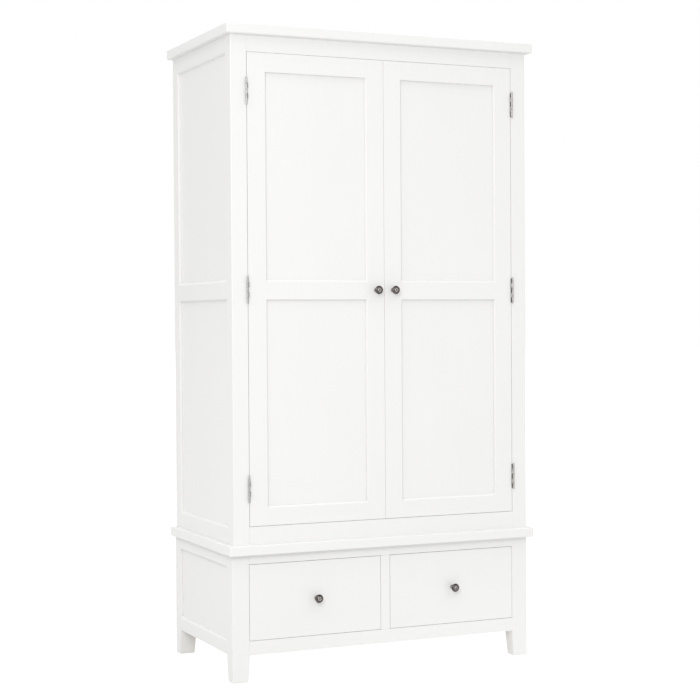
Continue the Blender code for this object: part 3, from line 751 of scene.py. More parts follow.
def dome_screw():
    """A domed screw head with a cross recess."""
    angles = [step * math.pi / (2 * DOME_STEPS) for step in range(DOME_STEPS + 1)]
    profile = [(DOME_RADIUS * math.sin(angle), DOME_HEIGHT * math.cos(angle)) for angle in angles]
    profile += [(DOME_RADIUS, -DOME_RIM), (0.0, -DOME_RIM)]
    head = turned(profile, SCREW_SEGMENTS, Matrix.Identity(4))
    return boolean(head, cross_recess((0.0, 0.0), *DOME_RECESS))


FLAT_SCREW = countersunk_screw()
DOME_SCREW = dome_screw()


def screws(name, template, places, direction, body):
    """A row of identical screws as one piece, each turned a little differently."""
    dice = random.Random(name)
    copies = []
    for place in places:
        spin = Matrix.Rotation(dice.uniform(0.0, math.pi), 4, "Z")
        copies.append(moved(template, facing(place, direction) @ spin))
    add_piece(name, smooth(join_shapes(copies)), body, ZINC)


# ---------------------------------------------------------------- carcass


def build_boards():
    """The two overhanging boards, rounded all round."""
    for node in ("top_board", "base_top_board"):
        board(f"{node}_painted", *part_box(node), "root", "x", BOARD_ROUND, BOARD_ROUND, replaces=[node])


def hinge_mortises(side, face, front, way):
    """What wood loses to the three leaves of one side, from its face inwards, which is +1 or -1 along X."""
    cuts = []
    for level in LEVELS:
        leaf_low, leaf_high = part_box(f"hinge_door_leaf_{level}_{side}")
        cuts.append(
            spans(
                (face - way * OVERCUT, face + way * (LEAF_THICK + TOUCH)),
                (front - OVERCUT, leaf_high.y + TOUCH),
                (leaf_low.z - TOUCH, leaf_high.z + TOUCH),
            )
        )
    return cuts


def back_rebate(panel, inner, sign, high, bottom):
    """What a rear post or leg loses to the back panel behind its inner face."""
    back_low, back_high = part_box(panel)
    return spans(
        (inner - sign * OVERCUT, sign * (back_high.x + TOUCH)),
        (back_low.y - TOUCH, high.y + OVERCUT),
        (bottom, high.z + OVERCUT),
    )


def post_corner(x, y, radius):
    """Rounds one upright arris of a corner post more than its other edges."""

    def special(middle, way):
        here = abs(middle.x - x) < SAME and abs(middle.y - y) < SAME
        return radius if here and abs(way.z) > ALONG else None

    return special


def build_posts():
    """Corner posts: hinge mortises in the front pair and a rebate for the back in the rear pair."""
    for side, sign in SIDES:
        mouldings = side_mouldings(f"upper_side_{side}", sign)
        for row in ("front", "rear"):
            node = f"upper_post_{row}_{side}"
            low, high = fitted(node, "z")
            inner, outer = faces_x((low, high), sign)
            if row == "front":
                corner = post_corner(outer, low.y, CORNER_ROUND)
                cuts = mouldings + hinge_mortises(side, inner, low.y, sign)
            else:
                corner = post_corner(outer, high.y, REAR_CORNER_ROUND)
                cuts = [back_rebate("upper_back_panel", inner, sign, high, low.z - OVERCUT)] + mouldings
            board(f"{row}_post_{side}", low, high, "root", "z", ARRIS, JOINT_GAP, corner, cuts, [node])


def side_rails(node):
    """The rails of a side frame as (name, low z, high z), from the bottom up."""
    z = levels_of(node, "z")
    if node.startswith("base"):
        return ("bottom", z[0], z[1]), ("top", z[2], z[3])
    return ("bottom", z[0], z[1]), ("middle", z[2], z[3]), ("top", z[5], z[6])


def side_mouldings(node, sign):
    """The chamfers round the openings of a side frame, for its rails and for the posts beside it."""
    low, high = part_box(node)
    _, face = faces_x((low, high), sign)
    rails = side_rails(node)
    cutters = []
    for (_, _, bottom), (_, top, _) in zip(rails, rails[1:]):
        opening = ((0.0, low.y - TOUCH, bottom), (0.0, high.y + TOUCH, top))
        cutters.append(moulding_cutter(*opening, "x", face, -sign, SIDE_MOULDING, SIDE_MOULDING_SHARES))
    return cutters


def build_side_frame(node, label, side, sign, recess, panel_back):
    """Rails and recessed panels between two posts; recess and panel_back are how far out the panels lie."""
    low, high = fitted(node, "yz")
    rails = side_rails(node)
    panels = []
    for (_, _, below), (_, above, _) in zip(rails, rails[1:]):
        panels.append(
            spans(
                (sign * recess, sign * panel_back), (low.y + FIT, high.y - FIT),
                (below - SIDE_TONGUE, above + SIDE_TONGUE),
            )
        )
    cuts = [grown(panel, TOUCH / 2) for panel in panels] + side_mouldings(node, sign)
    for name, bottom, top in rails:
        bottom = low.z if name == "bottom" else bottom
        top = high.z if name == "top" else top
        board(
            f"{label}_{name}_rail_{side}", (low.x, low.y, bottom), (high.x, high.y, top), "root", "y",
            END_EDGE, JOINT_GAP, cuts=cuts, replaces=[node],
        )
    for index, panel in enumerate(panels):
        board(
            f"{label}_panel_{index + 1}_{side}", *panel, "root", "z", END_EDGE, END_EDGE, replaces=[node],
        )


def build_side_frames():
    """The side frames of carcass and base, with the batten behind the upper panel that carries the rail."""
    for side, sign in SIDES:
        node = f"upper_side_{side}"
        low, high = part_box(node)
        inner, panel_back, recess, _ = sorted(abs(value) for value in levels_of(node, "x"))
        build_side_frame(node, "carcass", side, sign, recess, panel_back)
        batten_low, top_low = levels_of(node, "z")[4:6]
        batten = spans(
            (sign * inner, sign * (panel_back - TOUCH)), (low.y, high.y), (batten_low, top_low - TOUCH),
        )
        board(f"carcass_batten_{side}", *batten, "root", "y", ARRIS, END_EDGE, replaces=[node])
        node = f"base_side_{side}"
        _, panel_back, recess, _ = sorted(abs(value) for value in levels_of(node, "x"))
        build_side_frame(node, "base", side, sign, recess, panel_back)


def v_board_outline(low, high):
    """The plan of a back panel of narrow boards, with a V between each two on both faces."""
    count = max(2, round((high.x - low.x) / BACK_BOARD_PITCH))
    pitch = (high.x - low.x) / count
    seams = [low.x + pitch * index for index in range(1, count)]
    depth = BACK_V_DEPTH
    front = [(low.x, low.y)]
    for seam in seams:
        front += [(seam - depth, low.y), (seam, low.y + depth), (seam + depth, low.y)]
    front.append((high.x, low.y))
    rear = [(high.x, high.y)]
    for seam in reversed(seams):
        rear += [(seam + depth, high.y), (seam, high.y - depth), (seam - depth, high.y)]
    rear.append((low.x, high.y))
    return front + rear


def build_back(node, name):
    """A back panel of vertical V-jointed boards, and the screws that hold it."""
    low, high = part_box(node)
    shape = bmesh.new()
    verts = [shape.verts.new((x, y, low.z)) for x, y in v_board_outline(low, high)]
    face = shape.faces.new(verts)
    lifted = bmesh.ops.extrude_face_region(shape, geom=[face])["geom"]
    raised = [item for item in lifted if isinstance(item, bmesh.types.BMVert)]
    bmesh.ops.translate(shape, vec=(0.0, 0.0, high.z - low.z), verts=raised)
    add_wood(name, mesh_from(shape), "root", "z", [node])
    rows = max(2, round((high.z - low.z) / BACK_SCREW_PITCH))
    run = high.z - low.z - 2 * BACK_SCREW_END
    heights = [low.z + BACK_SCREW_END + run * row / rows for row in range(rows + 1)]
    places = [(x, high.y, z) for x in (low.x + BACK_SCREW_INSET, high.x - BACK_SCREW_INSET) for z in heights]
    screws(f"{name}_screws", DOME_SCREW, places, (0, 1, 0), "root")


def build_carcass():
    """Front rails, floor board and back."""
    for node, end in (("upper_front_top_rail", 1), ("upper_front_bottom_rail", 0)):
        box = fitted(node, "xz")
        level = box[end].z

        def rail_edge(middle, way):
            return JOINT_GAP if abs(middle.z - level) < SAME else None

        board(f"{node}_painted", *box, "root", "x", ARRIS, JOINT_GAP, special=rail_edge, replaces=[node])
    low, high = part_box("upper_floor_board")
    post_low, post_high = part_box("upper_post_front_right")
    rear_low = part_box("upper_post_rear_right")[0]
    notch_z = (low.z - OVERCUT, high.z + OVERCUT)
    cuts = []
    for _, sign in SIDES:
        notch_x = (sign * (post_low.x - TOUCH), sign * (high.x + OVERCUT))
        cuts.append(spans(notch_x, (low.y - OVERCUT, post_high.y + TOUCH), notch_z))
        cuts.append(spans(notch_x, (rear_low.y - TOUCH, high.y + OVERCUT), notch_z))
    board(
        "floor_board_painted", low, high, "root", "x", ARRIS, END_EDGE, cuts=cuts,
        replaces=["upper_floor_board"],
    )
    build_back("upper_back_panel", "carcass_back_boards")


def build_rail_cup(side, sign):
    """A flanged cup that holds one end of the hanging rail, and its three screws."""
    node = f"rail_socket_{side}"
    low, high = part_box(node)
    centre = (low + high) / 2
    _, wall = faces_x((low, high), sign)
    flange, length = (high.z - low.z) / 2, high.x - low.x
    outline = (
        (0.0, CUP_FLOOR), (CUP_BORE, CUP_FLOOR), (CUP_BORE, length), (CUP_RADIUS, length),
        (CUP_RADIUS, CUP_SHOULDER), *((flange * share, height) for share, height in CUP_FLANGE), (0.0, 0.0),
    )
    way = (-sign, 0, 0)
    cup = turned(soften(outline, CUP_EASE, 4), RAIL_SEGMENTS, facing((wall, centre.y, centre.z), way))
    add_piece(f"rail_cup_{side}", smooth(cup), "root", CHROME, [node])
    places = []
    for angle in map(math.radians, CUP_SCREW_ANGLES):
        y, z = CUP_SCREW_CIRCLE * math.cos(angle), CUP_SCREW_CIRCLE * math.sin(angle)
        places.append((wall - sign * CUP_SCREW_FACE, centre.y + y, centre.z + z))
    screws(f"rail_cup_screws_{side}", FLAT_SCREW, places, way, "root")


def build_hanging_rail():
    """A chromed tube in two flanged cups."""
    low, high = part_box("hanging_rail")
    radius = (high.z - low.z) / 2
    half = (high.x - low.x) / 2
    bore = radius - RAIL_WALL
    outline = soften(((radius, 0.0), (radius, half), (bore, half), (bore, 0.0)), RAIL_EASE)[1:-1]
    profile = list(reversed(outline)) + [(r, -h) for r, h in outline]
    tube = turned(profile, RAIL_SEGMENTS, facing((low + high) / 2, (1, 0, 0)), closed=True)
    add_piece("rail_tube", smooth(tube), "root", CHROME, ["hanging_rail"])
    for side, sign in SIDES:
        build_rail_cup(side, sign)


def around(x, half, y, depths, z, levels):
    """A box that reaches as far to both sides of x, between two depths from y and two levels from z."""
    return spans((x - half, x + half), [y + depth for depth in depths], [z + level for level in levels])


def build_catch():
    """A double magnetic catch: body, four poles and two screws, and a steel plate on each door."""
    low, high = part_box("magnetic_catch")
    rail_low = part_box("upper_front_top_rail")[0]
    door_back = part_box("left_door_frame")[1].y
    face = door_back + CATCH_STANDOFF
    step = spans(
        (low.x - OVERCUT, high.x + OVERCUT), (low.y - OVERCUT, face), (low.z - OVERCUT, rail_low.z),
    )
    slots = []
    poles = []
    for centre in CATCH_CENTRES:
        slots.append(box_mesh(*around(centre, SLOT_HALF, face, SLOT_DEPTHS, low.z, SLOT_LEVELS)))
        for level in POLE_LEVELS:
            pole = around(centre, POLE_HALF, face, POLE_DEPTHS, low.z + level, (0.0, POLE_THICK))
            poles.append(rounded(box_shape(*pole), lambda edge: POLE_EASE, 2))
    body = rounded(box_shape(low, high), lambda edge: CATCH_EASE)
    body = boolean(boolean(body, box_mesh(*step)), join_shapes(slots))
    add_piece("catch_body", smooth(body), "root", PLASTIC, ["magnetic_catch"])
    add_piece("catch_poles", smooth(join_shapes(poles)), "root", ZINC)
    places = [(x, high.y, high.z - CATCH_SCREW_DROP) for x in (-CATCH_SCREW_X, CATCH_SCREW_X)]
    screws("catch_screws", DOME_SCREW, places, (0, 1, 0), "root")
    for (side, _), centre in zip(SIDES, CATCH_CENTRES):
        plate = around(centre, SLOT_HALF, door_back, PLATE_DEPTHS, low.z, PLATE_LEVELS)
        plate = smooth(rounded(box_shape(*plate), lambda edge: PLATE_EASE, 2))
        add_piece(f"strike_plate_{side}", plate, f"{side}_door", ZINC)


# ---------------------------------------------------------------- base


def foot_taper(node, towards_x, towards_y):
    """How far a CAD leg's inner faces come in at the floor, and the height where they start."""
    points = [vertex.co for vertex in frame["nodes"][node].data.vertices]
    foot = [point for point in points if point.z < NEAR]
    knee = min(point.z for point in points if point.z > NEAR)
    taper_x = max(point.x * towards_x for point in points) - max(point.x * towards_x for point in foot)
    taper_y = max(point.y * towards_y for point in points) - max(point.y * towards_y for point in foot)
    return taper_x, taper_y, knee


def tapered_leg(low, high, towards_x, towards_y, taper_x, taper_y, knee_z):
    """A leg that narrows on its two inner faces from the knee to the floor."""
    shape = box_shape(low, high)
    bmesh.ops.bisect_plane(
        shape, geom=shape.verts[:] + shape.edges[:] + shape.faces[:],
        plane_co=(0.0, 0.0, knee_z), plane_no=(0.0, 0.0, 1.0),
    )
    middle = (low + high) / 2
    for vertex in shape.verts:
        if vertex.co.z < knee_z - SAME:
            if (vertex.co.x - middle.x) * towards_x > 0:
                vertex.co.x -= towards_x * taper_x
            if (vertex.co.y - middle.y) * towards_y > 0:
                vertex.co.y -= towards_y * taper_y
    return shape


def build_legs():
    """Four tapered legs with eased arrises and chamfered feet."""
    for side, sign in SIDES:
        for row, towards_y in (("front", 1), ("rear", -1)):
            node = f"leg_{row}_{side}"
            low, high = fitted(node, "z")
            taper_x, taper_y, knee = foot_taper(node, -sign, towards_y)
            shape = tapered_leg(low, high, -sign, towards_y, taper_x, taper_y, knee)
            inner, outer_x = faces_x((low, high), sign)
            outer_y = low.y if towards_y > 0 else high.y

            def radius_of(edge):
                middle, way = middle_and_way(edge)
                if middle.z < NEAR:
                    return FOOT_EDGE
                if abs(way.z) < 0.5:
                    return 0.0 if middle.z < knee + KNEE_ZONE else END_EDGE
                corner = abs(middle.x - outer_x) < NEAR and abs(middle.y - outer_y) < NEAR
                return CORNER_ROUND if corner else ARRIS

            mesh = rounded(shape, radius_of)
            if row == "rear":
                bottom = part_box("base_back_panel")[0].z - TOUCH
                mesh = boolean(mesh, box_mesh(*back_rebate("base_back_panel", inner, sign, high, bottom)))
            for cutter in side_mouldings(f"base_side_{side}", sign):
                mesh = boolean(mesh, cutter)
            add_wood(f"{row}_leg_{side}", mesh, "root", "z", [node], grain=node)


def build_base():
    """Front rails, centre stile and back of the base."""
    for node, along in (
        ("base_front_top_rail", "x"), ("base_front_bottom_rail", "x"), ("base_centre_stile", "z"),
    ):
        board(f"{node}_painted", *fitted(node, along), "root", along, ARRIS, JOINT_GAP, replaces=[node])
    build_back("base_back_panel", "base_back_boards")


def build_runners():
    """The runner frame: side and centre runners with their guides, and cross rails front and back."""
    node = "drawer_runner_frame"
    low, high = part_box(node)
    leg_low, leg_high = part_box("leg_front_right")
    rear_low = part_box("leg_rear_right")[0]
    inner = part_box("base_centre_stile")[1].x - TOUCH
    outer = leg_low.x - TOUCH
    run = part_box("base_front_bottom_rail")[1].z
    cross_y = (low.y + RUNNER_CROSS, high.y - RUNNER_CROSS)
    track_y = (cross_y[0] + JOINT_GAP, cross_y[1] - JOINT_GAP)
    centre = inner + RUNNER_WIDTH
    parts = [
        ("runner_centre", "y", (-centre, centre), track_y, (low.z, run)),
        ("guide_centre", "y", (-inner, inner), (low.y, high.y), (run, high.z)),
        ("runner_cross_front", "x", (-outer, outer), (low.y, cross_y[0]), (low.z, run)),
        ("runner_cross_rear", "x", (-outer, outer), (cross_y[1], high.y), (low.z, run)),
    ]
    guide_y = (leg_high.y + TOUCH, rear_low.y - TOUCH)
    for side, sign in SIDES:
        runner_x = (sign * (outer - RUNNER_WIDTH), sign * outer)
        parts.append((f"runner_{side}", "y", runner_x, track_y, (low.z, run)))
        parts.append((f"guide_{side}", "y", (sign * leg_low.x, sign * high.x), guide_y, (low.z, high.z)))
    for name, along, x, y, z in parts:
        board(name, *spans(x, y, z), "root", along, material=TIMBER, slot="drawer_wood", replaces=[node])


# ---------------------------------------------------------------- hinges


def knuckle_span(index, height):
    """The height span of a knuckle, from the hinge's middle, with 0 at the top."""
    pitch = height / KNUCKLES
    return height / 2 - (index + 1) * pitch, height / 2 - index * pitch


def hinge_plate(low, high, face_x, screw_side, relief=()):
    """A leaf with round corners on its free side, three countersinks and relief for the other's knuckles."""
    middle = (Vector(low) + Vector(high)) / 2

    def radius_of(edge):
        centre, way = middle_and_way(edge)
        return LEAF_CORNER if abs(way.x) > ALONG and centre.y > middle.y else LEAF_EDGE

    plate = rounded(box_shape(low, high), radius_of)
    top, floor = COUNTERSINK_SPAN
    cup = ((0.0, top), (COUNTERSINK_RADIUS, top), (COUNTERSINK_RADIUS, floor), (0.0, floor))
    tools = [box_mesh(*cut) for cut in relief]
    for place in hinge_screw_places(face_x, high, middle.z):
        tools.append(turned(cup, SCREW_SEGMENTS, facing(place, (screw_side, 0, 0))))
    return boolean(plate, join_shapes(tools))


def hinge_screw_places(face_x, leaf_high, middle):
    """Where the three screws of a leaf sit."""
    return [(face_x, leaf_high[1] - HINGE_SCREW_INSET, middle + offset) for offset in SCREW_LEVELS]


def barrel_profile(height, ball_top):
    """The pin, the three carcass knuckles and a ball at each end."""
    half = height / 2
    rise = BALL_RADIUS * BALL_FLATTENING
    top = []
    for angle in map(math.radians, BALL_ANGLES):
        top.append((BALL_RADIUS * math.sin(angle), ball_top - rise + rise * math.cos(angle)))
    top += [(BALL_NECK, half + BALL_NECK_HEIGHT), (BARREL_RADIUS - BARREL_SHOULDER, half)]
    body = []
    for index in range(KNUCKLES):
        low, high = knuckle_span(index, height)
        if index % 2 == 0:
            body.append((BARREL_RADIUS - KNUCKLE_EASE, high - (TOUCH if index else 0.0)))
            body.append((BARREL_RADIUS, high - KNUCKLE_CREST))
            body.append((BARREL_RADIUS, low + KNUCKLE_CREST))
            body.append((BARREL_RADIUS - KNUCKLE_EASE, low))
        else:
            body.append((PIN_RADIUS, high))
            body.append((PIN_RADIUS, low))
    return top + body[1:-1] + [(radius, -z) for radius, z in reversed(top)]


def ring_profile(half):
    """A bored door knuckle."""
    crest = BARREL_RADIUS - KNUCKLE_EASE
    return (
        (crest, half), (BARREL_RADIUS, half - KNUCKLE_EASE), (BARREL_RADIUS, -half + KNUCKLE_EASE),
        (crest, -half), (BORE_RADIUS, -half), (BORE_RADIUS, half),
    )


def build_carcass_leaf(name, side, sign, level, pin, box):
    """The leaf in the post, with the pin and its three knuckles, cut round the door's two."""
    node = f"hinge_carcass_leaf_{level}_{side}"
    low, high = box
    height, middle = high.z - low.z, (high.z + low.z) / 2
    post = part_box(f"upper_post_front_{side}")
    face, _ = faces_x(post, sign)
    x = sorted((face, face + sign * LEAF_THICK))
    relief = []
    for index in DOOR_KNUCKLES:
        bottom, top = knuckle_span(index, height)
        relief.append(
            spans(
                (x[0] - OVERCUT, x[1] + OVERCUT), (pin.y - OVERCUT, post[0].y + TOUCH),
                (middle + bottom - TOUCH, middle + top + TOUCH),
            )
        )
    plate = hinge_plate((x[0], pin.y + LEAF_START, low.z), (x[1], high.y, high.z), face, -sign, relief)
    profile = barrel_profile(height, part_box(node)[1].z - middle)
    barrel = turned(profile, HINGE_SEGMENTS, facing((pin.x, pin.y, middle), (0, 0, 1)))
    add_piece(name, smooth(boolean(barrel, plate, "UNION")), "root", NICKEL, [node])
    screws(f"{name}_screws", FLAT_SCREW, hinge_screw_places(face, high, middle), (-sign, 0, 0), "root")


def build_door_leaf(name, side, sign, level, pin, box):
    """The leaf in the door's edge, with its two bored knuckles."""
    low, high = box
    height, middle = high.z - low.z, (high.z + low.z) / 2
    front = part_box(f"upper_post_front_{side}")[0].y
    _, face = faces_x(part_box(f"{side}_door_frame"), sign)
    inlay = face - sign * LEAF_THICK
    x = sorted((face, inlay))
    plate = hinge_plate((x[0], front + TOUCH, low.z), (x[1], high.y, high.z), face, sign)
    for index in DOOR_KNUCKLES:
        bottom, top = knuckle_span(index, height)
        centre = middle + (bottom + top) / 2
        half = (top - bottom) / 2 - TOUCH / 2
        arm = box_mesh(*spans(
            (inlay, pin.x - sign * ARM_REACH), (pin.y - PIN_RADIUS, front + ARM_OVERLAP),
            (centre - half + ARM_CLEARANCE, centre + half - ARM_CLEARANCE),
        ))
        ring = turned(ring_profile(half), HINGE_SEGMENTS, facing((pin.x, pin.y, centre), (0, 0, 1)), True)
        plate = boolean(boolean(plate, arm, "UNION"), ring, "UNION")
    node = f"hinge_door_leaf_{level}_{side}"
    add_piece(name, smooth(plate), f"{side}_door", NICKEL, [node])
    places = hinge_screw_places(face, high, middle)
    screws(f"{name}_screws", FLAT_SCREW, places, (sign, 0, 0), f"{side}_door")


def build_hinges():
    """Six butt hinges, each of a carcass leaf with the pin and a door leaf, all let in flush."""
    joints = {joint["name"]: joint for joint in frame["joints"]}
    for side, sign in SIDES:
        pin = Vector(joints[f"{side}_door_hinge"]["pos_m"])
        for level in LEVELS:
            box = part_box(f"hinge_door_leaf_{level}_{side}")
            build_carcass_leaf(f"hinge_{level}_{side}_carcass", side, sign, level, pin, box)
            build_door_leaf(f"hinge_{level}_{side}_door", side, sign, level, pin, box)


# ---------------------------------------------------------------- knobs, doors and drawers


def knob_outline(radius, height):
    """The outline of a mushroom knob with a raised ring on its face, from the crown down to its foot."""
    shares = (
        (0.00, 0.966), (0.10, 0.968), (0.18, 0.978), (0.25, 0.994), (0.31, 1.000), (0.37, 0.994),
        (0.43, 0.974), (0.47, 0.955), (0.505, 0.946), (0.54, 0.953), (0.61, 0.964), (0.70, 0.961),
        (0.79, 0.944), (0.88, 0.912), (0.95, 0.870), (1.00, 0.815), (0.985, 0.768), (0.94, 0.726),
        (0.85, 0.680),
        (0.72, 0.625), (0.57, 0.565), (0.46, 0.500), (0.39, 0.420), (0.362, 0.330), (0.358, 0.240),
        (0.38, 0.185), (0.44, 0.145), (0.50, 0.118), (0.530, 0.092), (0.535, 0.050), (0.525, 0.010),
    )
    return [(share_r * radius, share_h * height) for share_r, share_h in shares]


def build_knob(node, body, name):
    """A turned pewter knob and the head of the bolt behind it."""
    low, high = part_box(node)
    centre = (low + high) / 2
    board_low, board_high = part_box(node.replace("_knob", "_frame" if "door" in node else "_front"))
    height = board_low.y - low.y
    under_head = board_low.y - board_high.y - BOLT_LIFT
    reach = high.y - board_low.y
    outline = knob_outline((high.x - low.x) / 2, height)
    outline += [
        (BOLT_RADIUS, TOUCH), (BOLT_RADIUS, under_head), (BOLT_HEAD_RADIUS, under_head),
        (BOLT_HEAD_RADIUS, -reach + BOLT_HEAD_EASE), (BOLT_HEAD_RADIUS * BOLT_HEAD_CREST, -reach),
        (0.0, -reach),
    ]
    mesh = turned(outline, KNOB_SEGMENTS, facing((centre.x, board_low.y, centre.z), (0, -1, 0)))
    recess_y = (high.y - BOLT_RECESS_DEPTH, high.y + NEAR)
    recess = cross_recess((centre.x, centre.z), *BOLT_RECESS, *recess_y, "y")
    mesh = smooth(boolean(mesh, recess))
    mark_turned(mesh, centre, board_low.y, height)
    add_piece(name, mesh, body, PEWTER, [node])


def knob_bore(node, front, back):
    """The hole for a knob's bolt, through a board with these two faces."""
    low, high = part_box(node)
    centre = (low + high) / 2
    depth = back - front + OVERCUT
    profile = ((0.0, OVERCUT), (BOLT_BORE, OVERCUT), (BOLT_BORE, -depth), (0.0, -depth))
    return turned(profile, BORE_SEGMENTS, facing((centre.x, front, centre.z), (0, -1, 0)))


def meeting_bevel(node, sign):
    """How far the back of a CAD door's meeting edge lies behind its front corner."""
    low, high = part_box(node)
    points = [vertex.co for vertex in frame["nodes"][node].data.vertices]
    front = min(point.x * sign for point in points if point.y < low.y + NEAR)
    back = min(point.x * sign for point in points if point.y > high.y - NEAR)
    return back - front


def build_doors():
    """Two framed doors: stiles, rails and captive panels, each with eased edges."""
    for side, sign in SIDES:
        node = f"{side}_door_frame"
        body = f"{side}_door"
        low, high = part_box(node)
        panels = {name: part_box(f"{side}_door_panel_{name}") for name in ("upper", "lower")}
        upper_low, upper_high = panels["upper"]
        lower_low, lower_high = panels["lower"]
        field = (upper_low.x + DOOR_TONGUE, upper_high.x - DOOR_TONGUE)
        rails = (
            ("bottom", low.z, lower_low.z + DOOR_TONGUE),
            ("middle", lower_high.z - DOOR_TONGUE, upper_low.z + DOOR_TONGUE),
            ("top", upper_high.z - DOOR_TONGUE, high.z),
        )
        outsides = ((low.x, field[0]), (field[1], high.x))
        meeting_x, hinge_x = outsides if sign > 0 else reversed(outsides)
        cuts = [grown(panel, GROOVE_GAP) for panel in panels.values()]
        for (_, _, bottom), (_, top, _) in zip(rails, rails[1:]):
            opening = ((field[0], 0.0, bottom), (field[1], 0.0, top))
            cuts.append(moulding_cutter(*opening, "y", low.y, 1, DOOR_MOULDING, DOOR_MOULDING_SHARES))

        def stile_edge(middle, way):
            inner = min(abs(middle.x - x) for x in field) < SAME
            return JOINT_GAP if inner else None

        def rail_edge(middle, way):
            outer = min(abs(middle.z - low.z), abs(middle.z - high.z)) < SAME
            return FIELD_EDGE if outer and abs(way.x) > ALONG else JOINT_GAP

        _, face = faces_x((low, high), sign)
        mortises = hinge_mortises(side, face, low.y, -sign)
        bore = knob_bore(f"{side}_door_knob", low.y, high.y)
        for name, x, own_cuts, slant in (
            ("hinge", hinge_x, mortises, 0.0), ("meeting", meeting_x, [bore], meeting_bevel(node, sign)),
        ):
            board(
                f"{side}_door_{name}_stile", (x[0], low.y, low.z), (x[1], high.y, high.z), body, "z",
                FIELD_EDGE, FIELD_EDGE, stile_edge, cuts + own_cuts, [node], slant=(sign, slant),
            )
        for name, bottom, top in rails:
            board(
                f"{side}_door_{name}_rail", (field[0] + JOINT_GAP, low.y, bottom),
                (field[1] - JOINT_GAP, high.y, top), body, "x", FIELD_EDGE, JOINT_GAP,
                rail_edge, cuts, [node],
            )
        for name, panel in panels.items():
            board(
                f"{side}_door_{name}_panel", *panel, body, "z", END_EDGE, END_EDGE,
                replaces=[f"{side}_door_panel_{name}"],
            )
        build_knob(f"{side}_door_knob", body, f"{side}_door_turned_knob")


def dovetails(x_low, x_high, front, z_low, z_high):
    """Dovetails along the front end of a drawer side, as boxes that widen towards their ends."""
    pitch = (z_high - z_low) / TAIL_COUNT
    root, tip = (pitch * share for share in TAIL_SHARES)
    tails = []
    for index in range(TAIL_COUNT):
        middle = z_low + pitch * (index + 0.5)
        shape = box_shape((x_low, front, middle - root), (x_high, front + TAIL_LENGTH, middle + root))
        for vertex in shape.verts:
            if vertex.co.y < front + NEAR:
                vertex.co.z = middle + math.copysign(tip, vertex.co.z - middle)
        tails.append(mesh_from(shape))
    return tails


def widened(tail):
    """A copy of a dovetail, a little larger across, as the cutter of its socket."""
    middle = sum((vertex.co for vertex in tail.vertices), Vector()) / len(tail.vertices)
    grow = Matrix.Diagonal(SOCKET_GROWTH)
    return moved(tail, Matrix.Translation(middle) @ grow @ Matrix.Translation(-middle))


def build_drawers():
    """Two drawers: a painted inset front, dovetailed timber sides, a back and a captive ply bottom."""
    for side, _ in SIDES:
        body = f"{side}_drawer"
        front_low, front_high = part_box(f"{body}_front")
        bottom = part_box(f"{body}_bottom")
        groove = grown(bottom, GROOVE_GAP)
        sockets = []
        for part in ("inner", "outer"):
            node = f"{body}_{part}_side"
            low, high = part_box(node)
            mesh = rounded(box_shape(low, high), board_edges("y", ARRIS, JOINT_GAP))
            mesh = boolean(mesh, box_mesh(*groove))
            tail_z = (low.z + TAIL_MARGINS[0], high.z - TAIL_MARGINS[1])
            for tail in dovetails(low.x, high.x, front_high.y - TAIL_DEPTH, *tail_z):
                sockets.append(widened(tail))
                mesh = boolean(mesh, tail, "UNION")
            add_wood(f"{body}_{part}_board", mesh, body, "y", [node], TIMBER, node)
        mesh = rounded(box_shape(front_low, front_high), board_edges("x", FIELD_EDGE, FIELD_EDGE))
        bore = knob_bore(f"{body}_knob", front_low.y, front_high.y)
        for tool in (box_mesh(*groove), bore, *sockets):
            mesh = boolean(mesh, tool)
        add_wood(f"{body}_painted_front", mesh, body, "x", [f"{body}_front"], grain=f"{body}_front")
        board(
            f"{body}_back_board", *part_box(f"{body}_back"), body, "x", ARRIS, JOINT_GAP,
            replaces=[f"{body}_back"], material=TIMBER, slot="drawer_wood",
        )
        board(
            f"{body}_bottom_board", *bottom, body, "x", END_EDGE, END_EDGE,
            replaces=[f"{body}_bottom"], material=PLY, slot="drawer_wood",
        )
        build_knob(f"{body}_knob", body, f"{body}_turned_knob")


# ---------------------------------------------------------------- studio


FLOOR_RADIUS = 60.0
FLOOR_SEGMENTS = 96
FLOOR_TONE = 0.25
FLOOR_MOTTLE = 0.985
FLOOR_SEEN = 0.94
FLOOR_GLOW = 0.53
FLOOR_LEFT_GLOW = 0.63
FLOOR_LEFT = (-0.2, -1.0)
FLOOR_POOL = 0.19
FLOOR_POOL_PLACE = (0.5, -0.3, 0.0)
FLOOR_POOL_REACH = (0.2, 1.2)
WORLD_SIDES = 0.504
WORLD_TOP = 1.36
WORLD_TOP_SPAN = (0.2, 0.8)
WORLD_LEFT = 1.16
KEY_PLACE = (-2.4, -3.8, 2.25)
KEY_AIM = (0.0, 0.0, 1.1)
KEY_SIZE = (1.3, 1.3)
KEY_POWER = 56.0
FILL_PLACE = (2.8, -3.9, 1.0)
FILL_AIM = (0.2, 0.0, 0.9)
FILL_SIZE = (2.0, 0.9)
FILL_POWER = 6.5
CAMERA_PLACE = (-2.1826, -4.8517, 1.0695)
CAMERA_YAW = math.radians(24.215)
CAMERA_PITCH = math.radians(-0.969)
CAMERA_ROLL = math.radians(-0.365)
CAMERA_LENS = 85.15
CAMERA_SENSOR = 36.0
CAMERA_FAR = 200.0


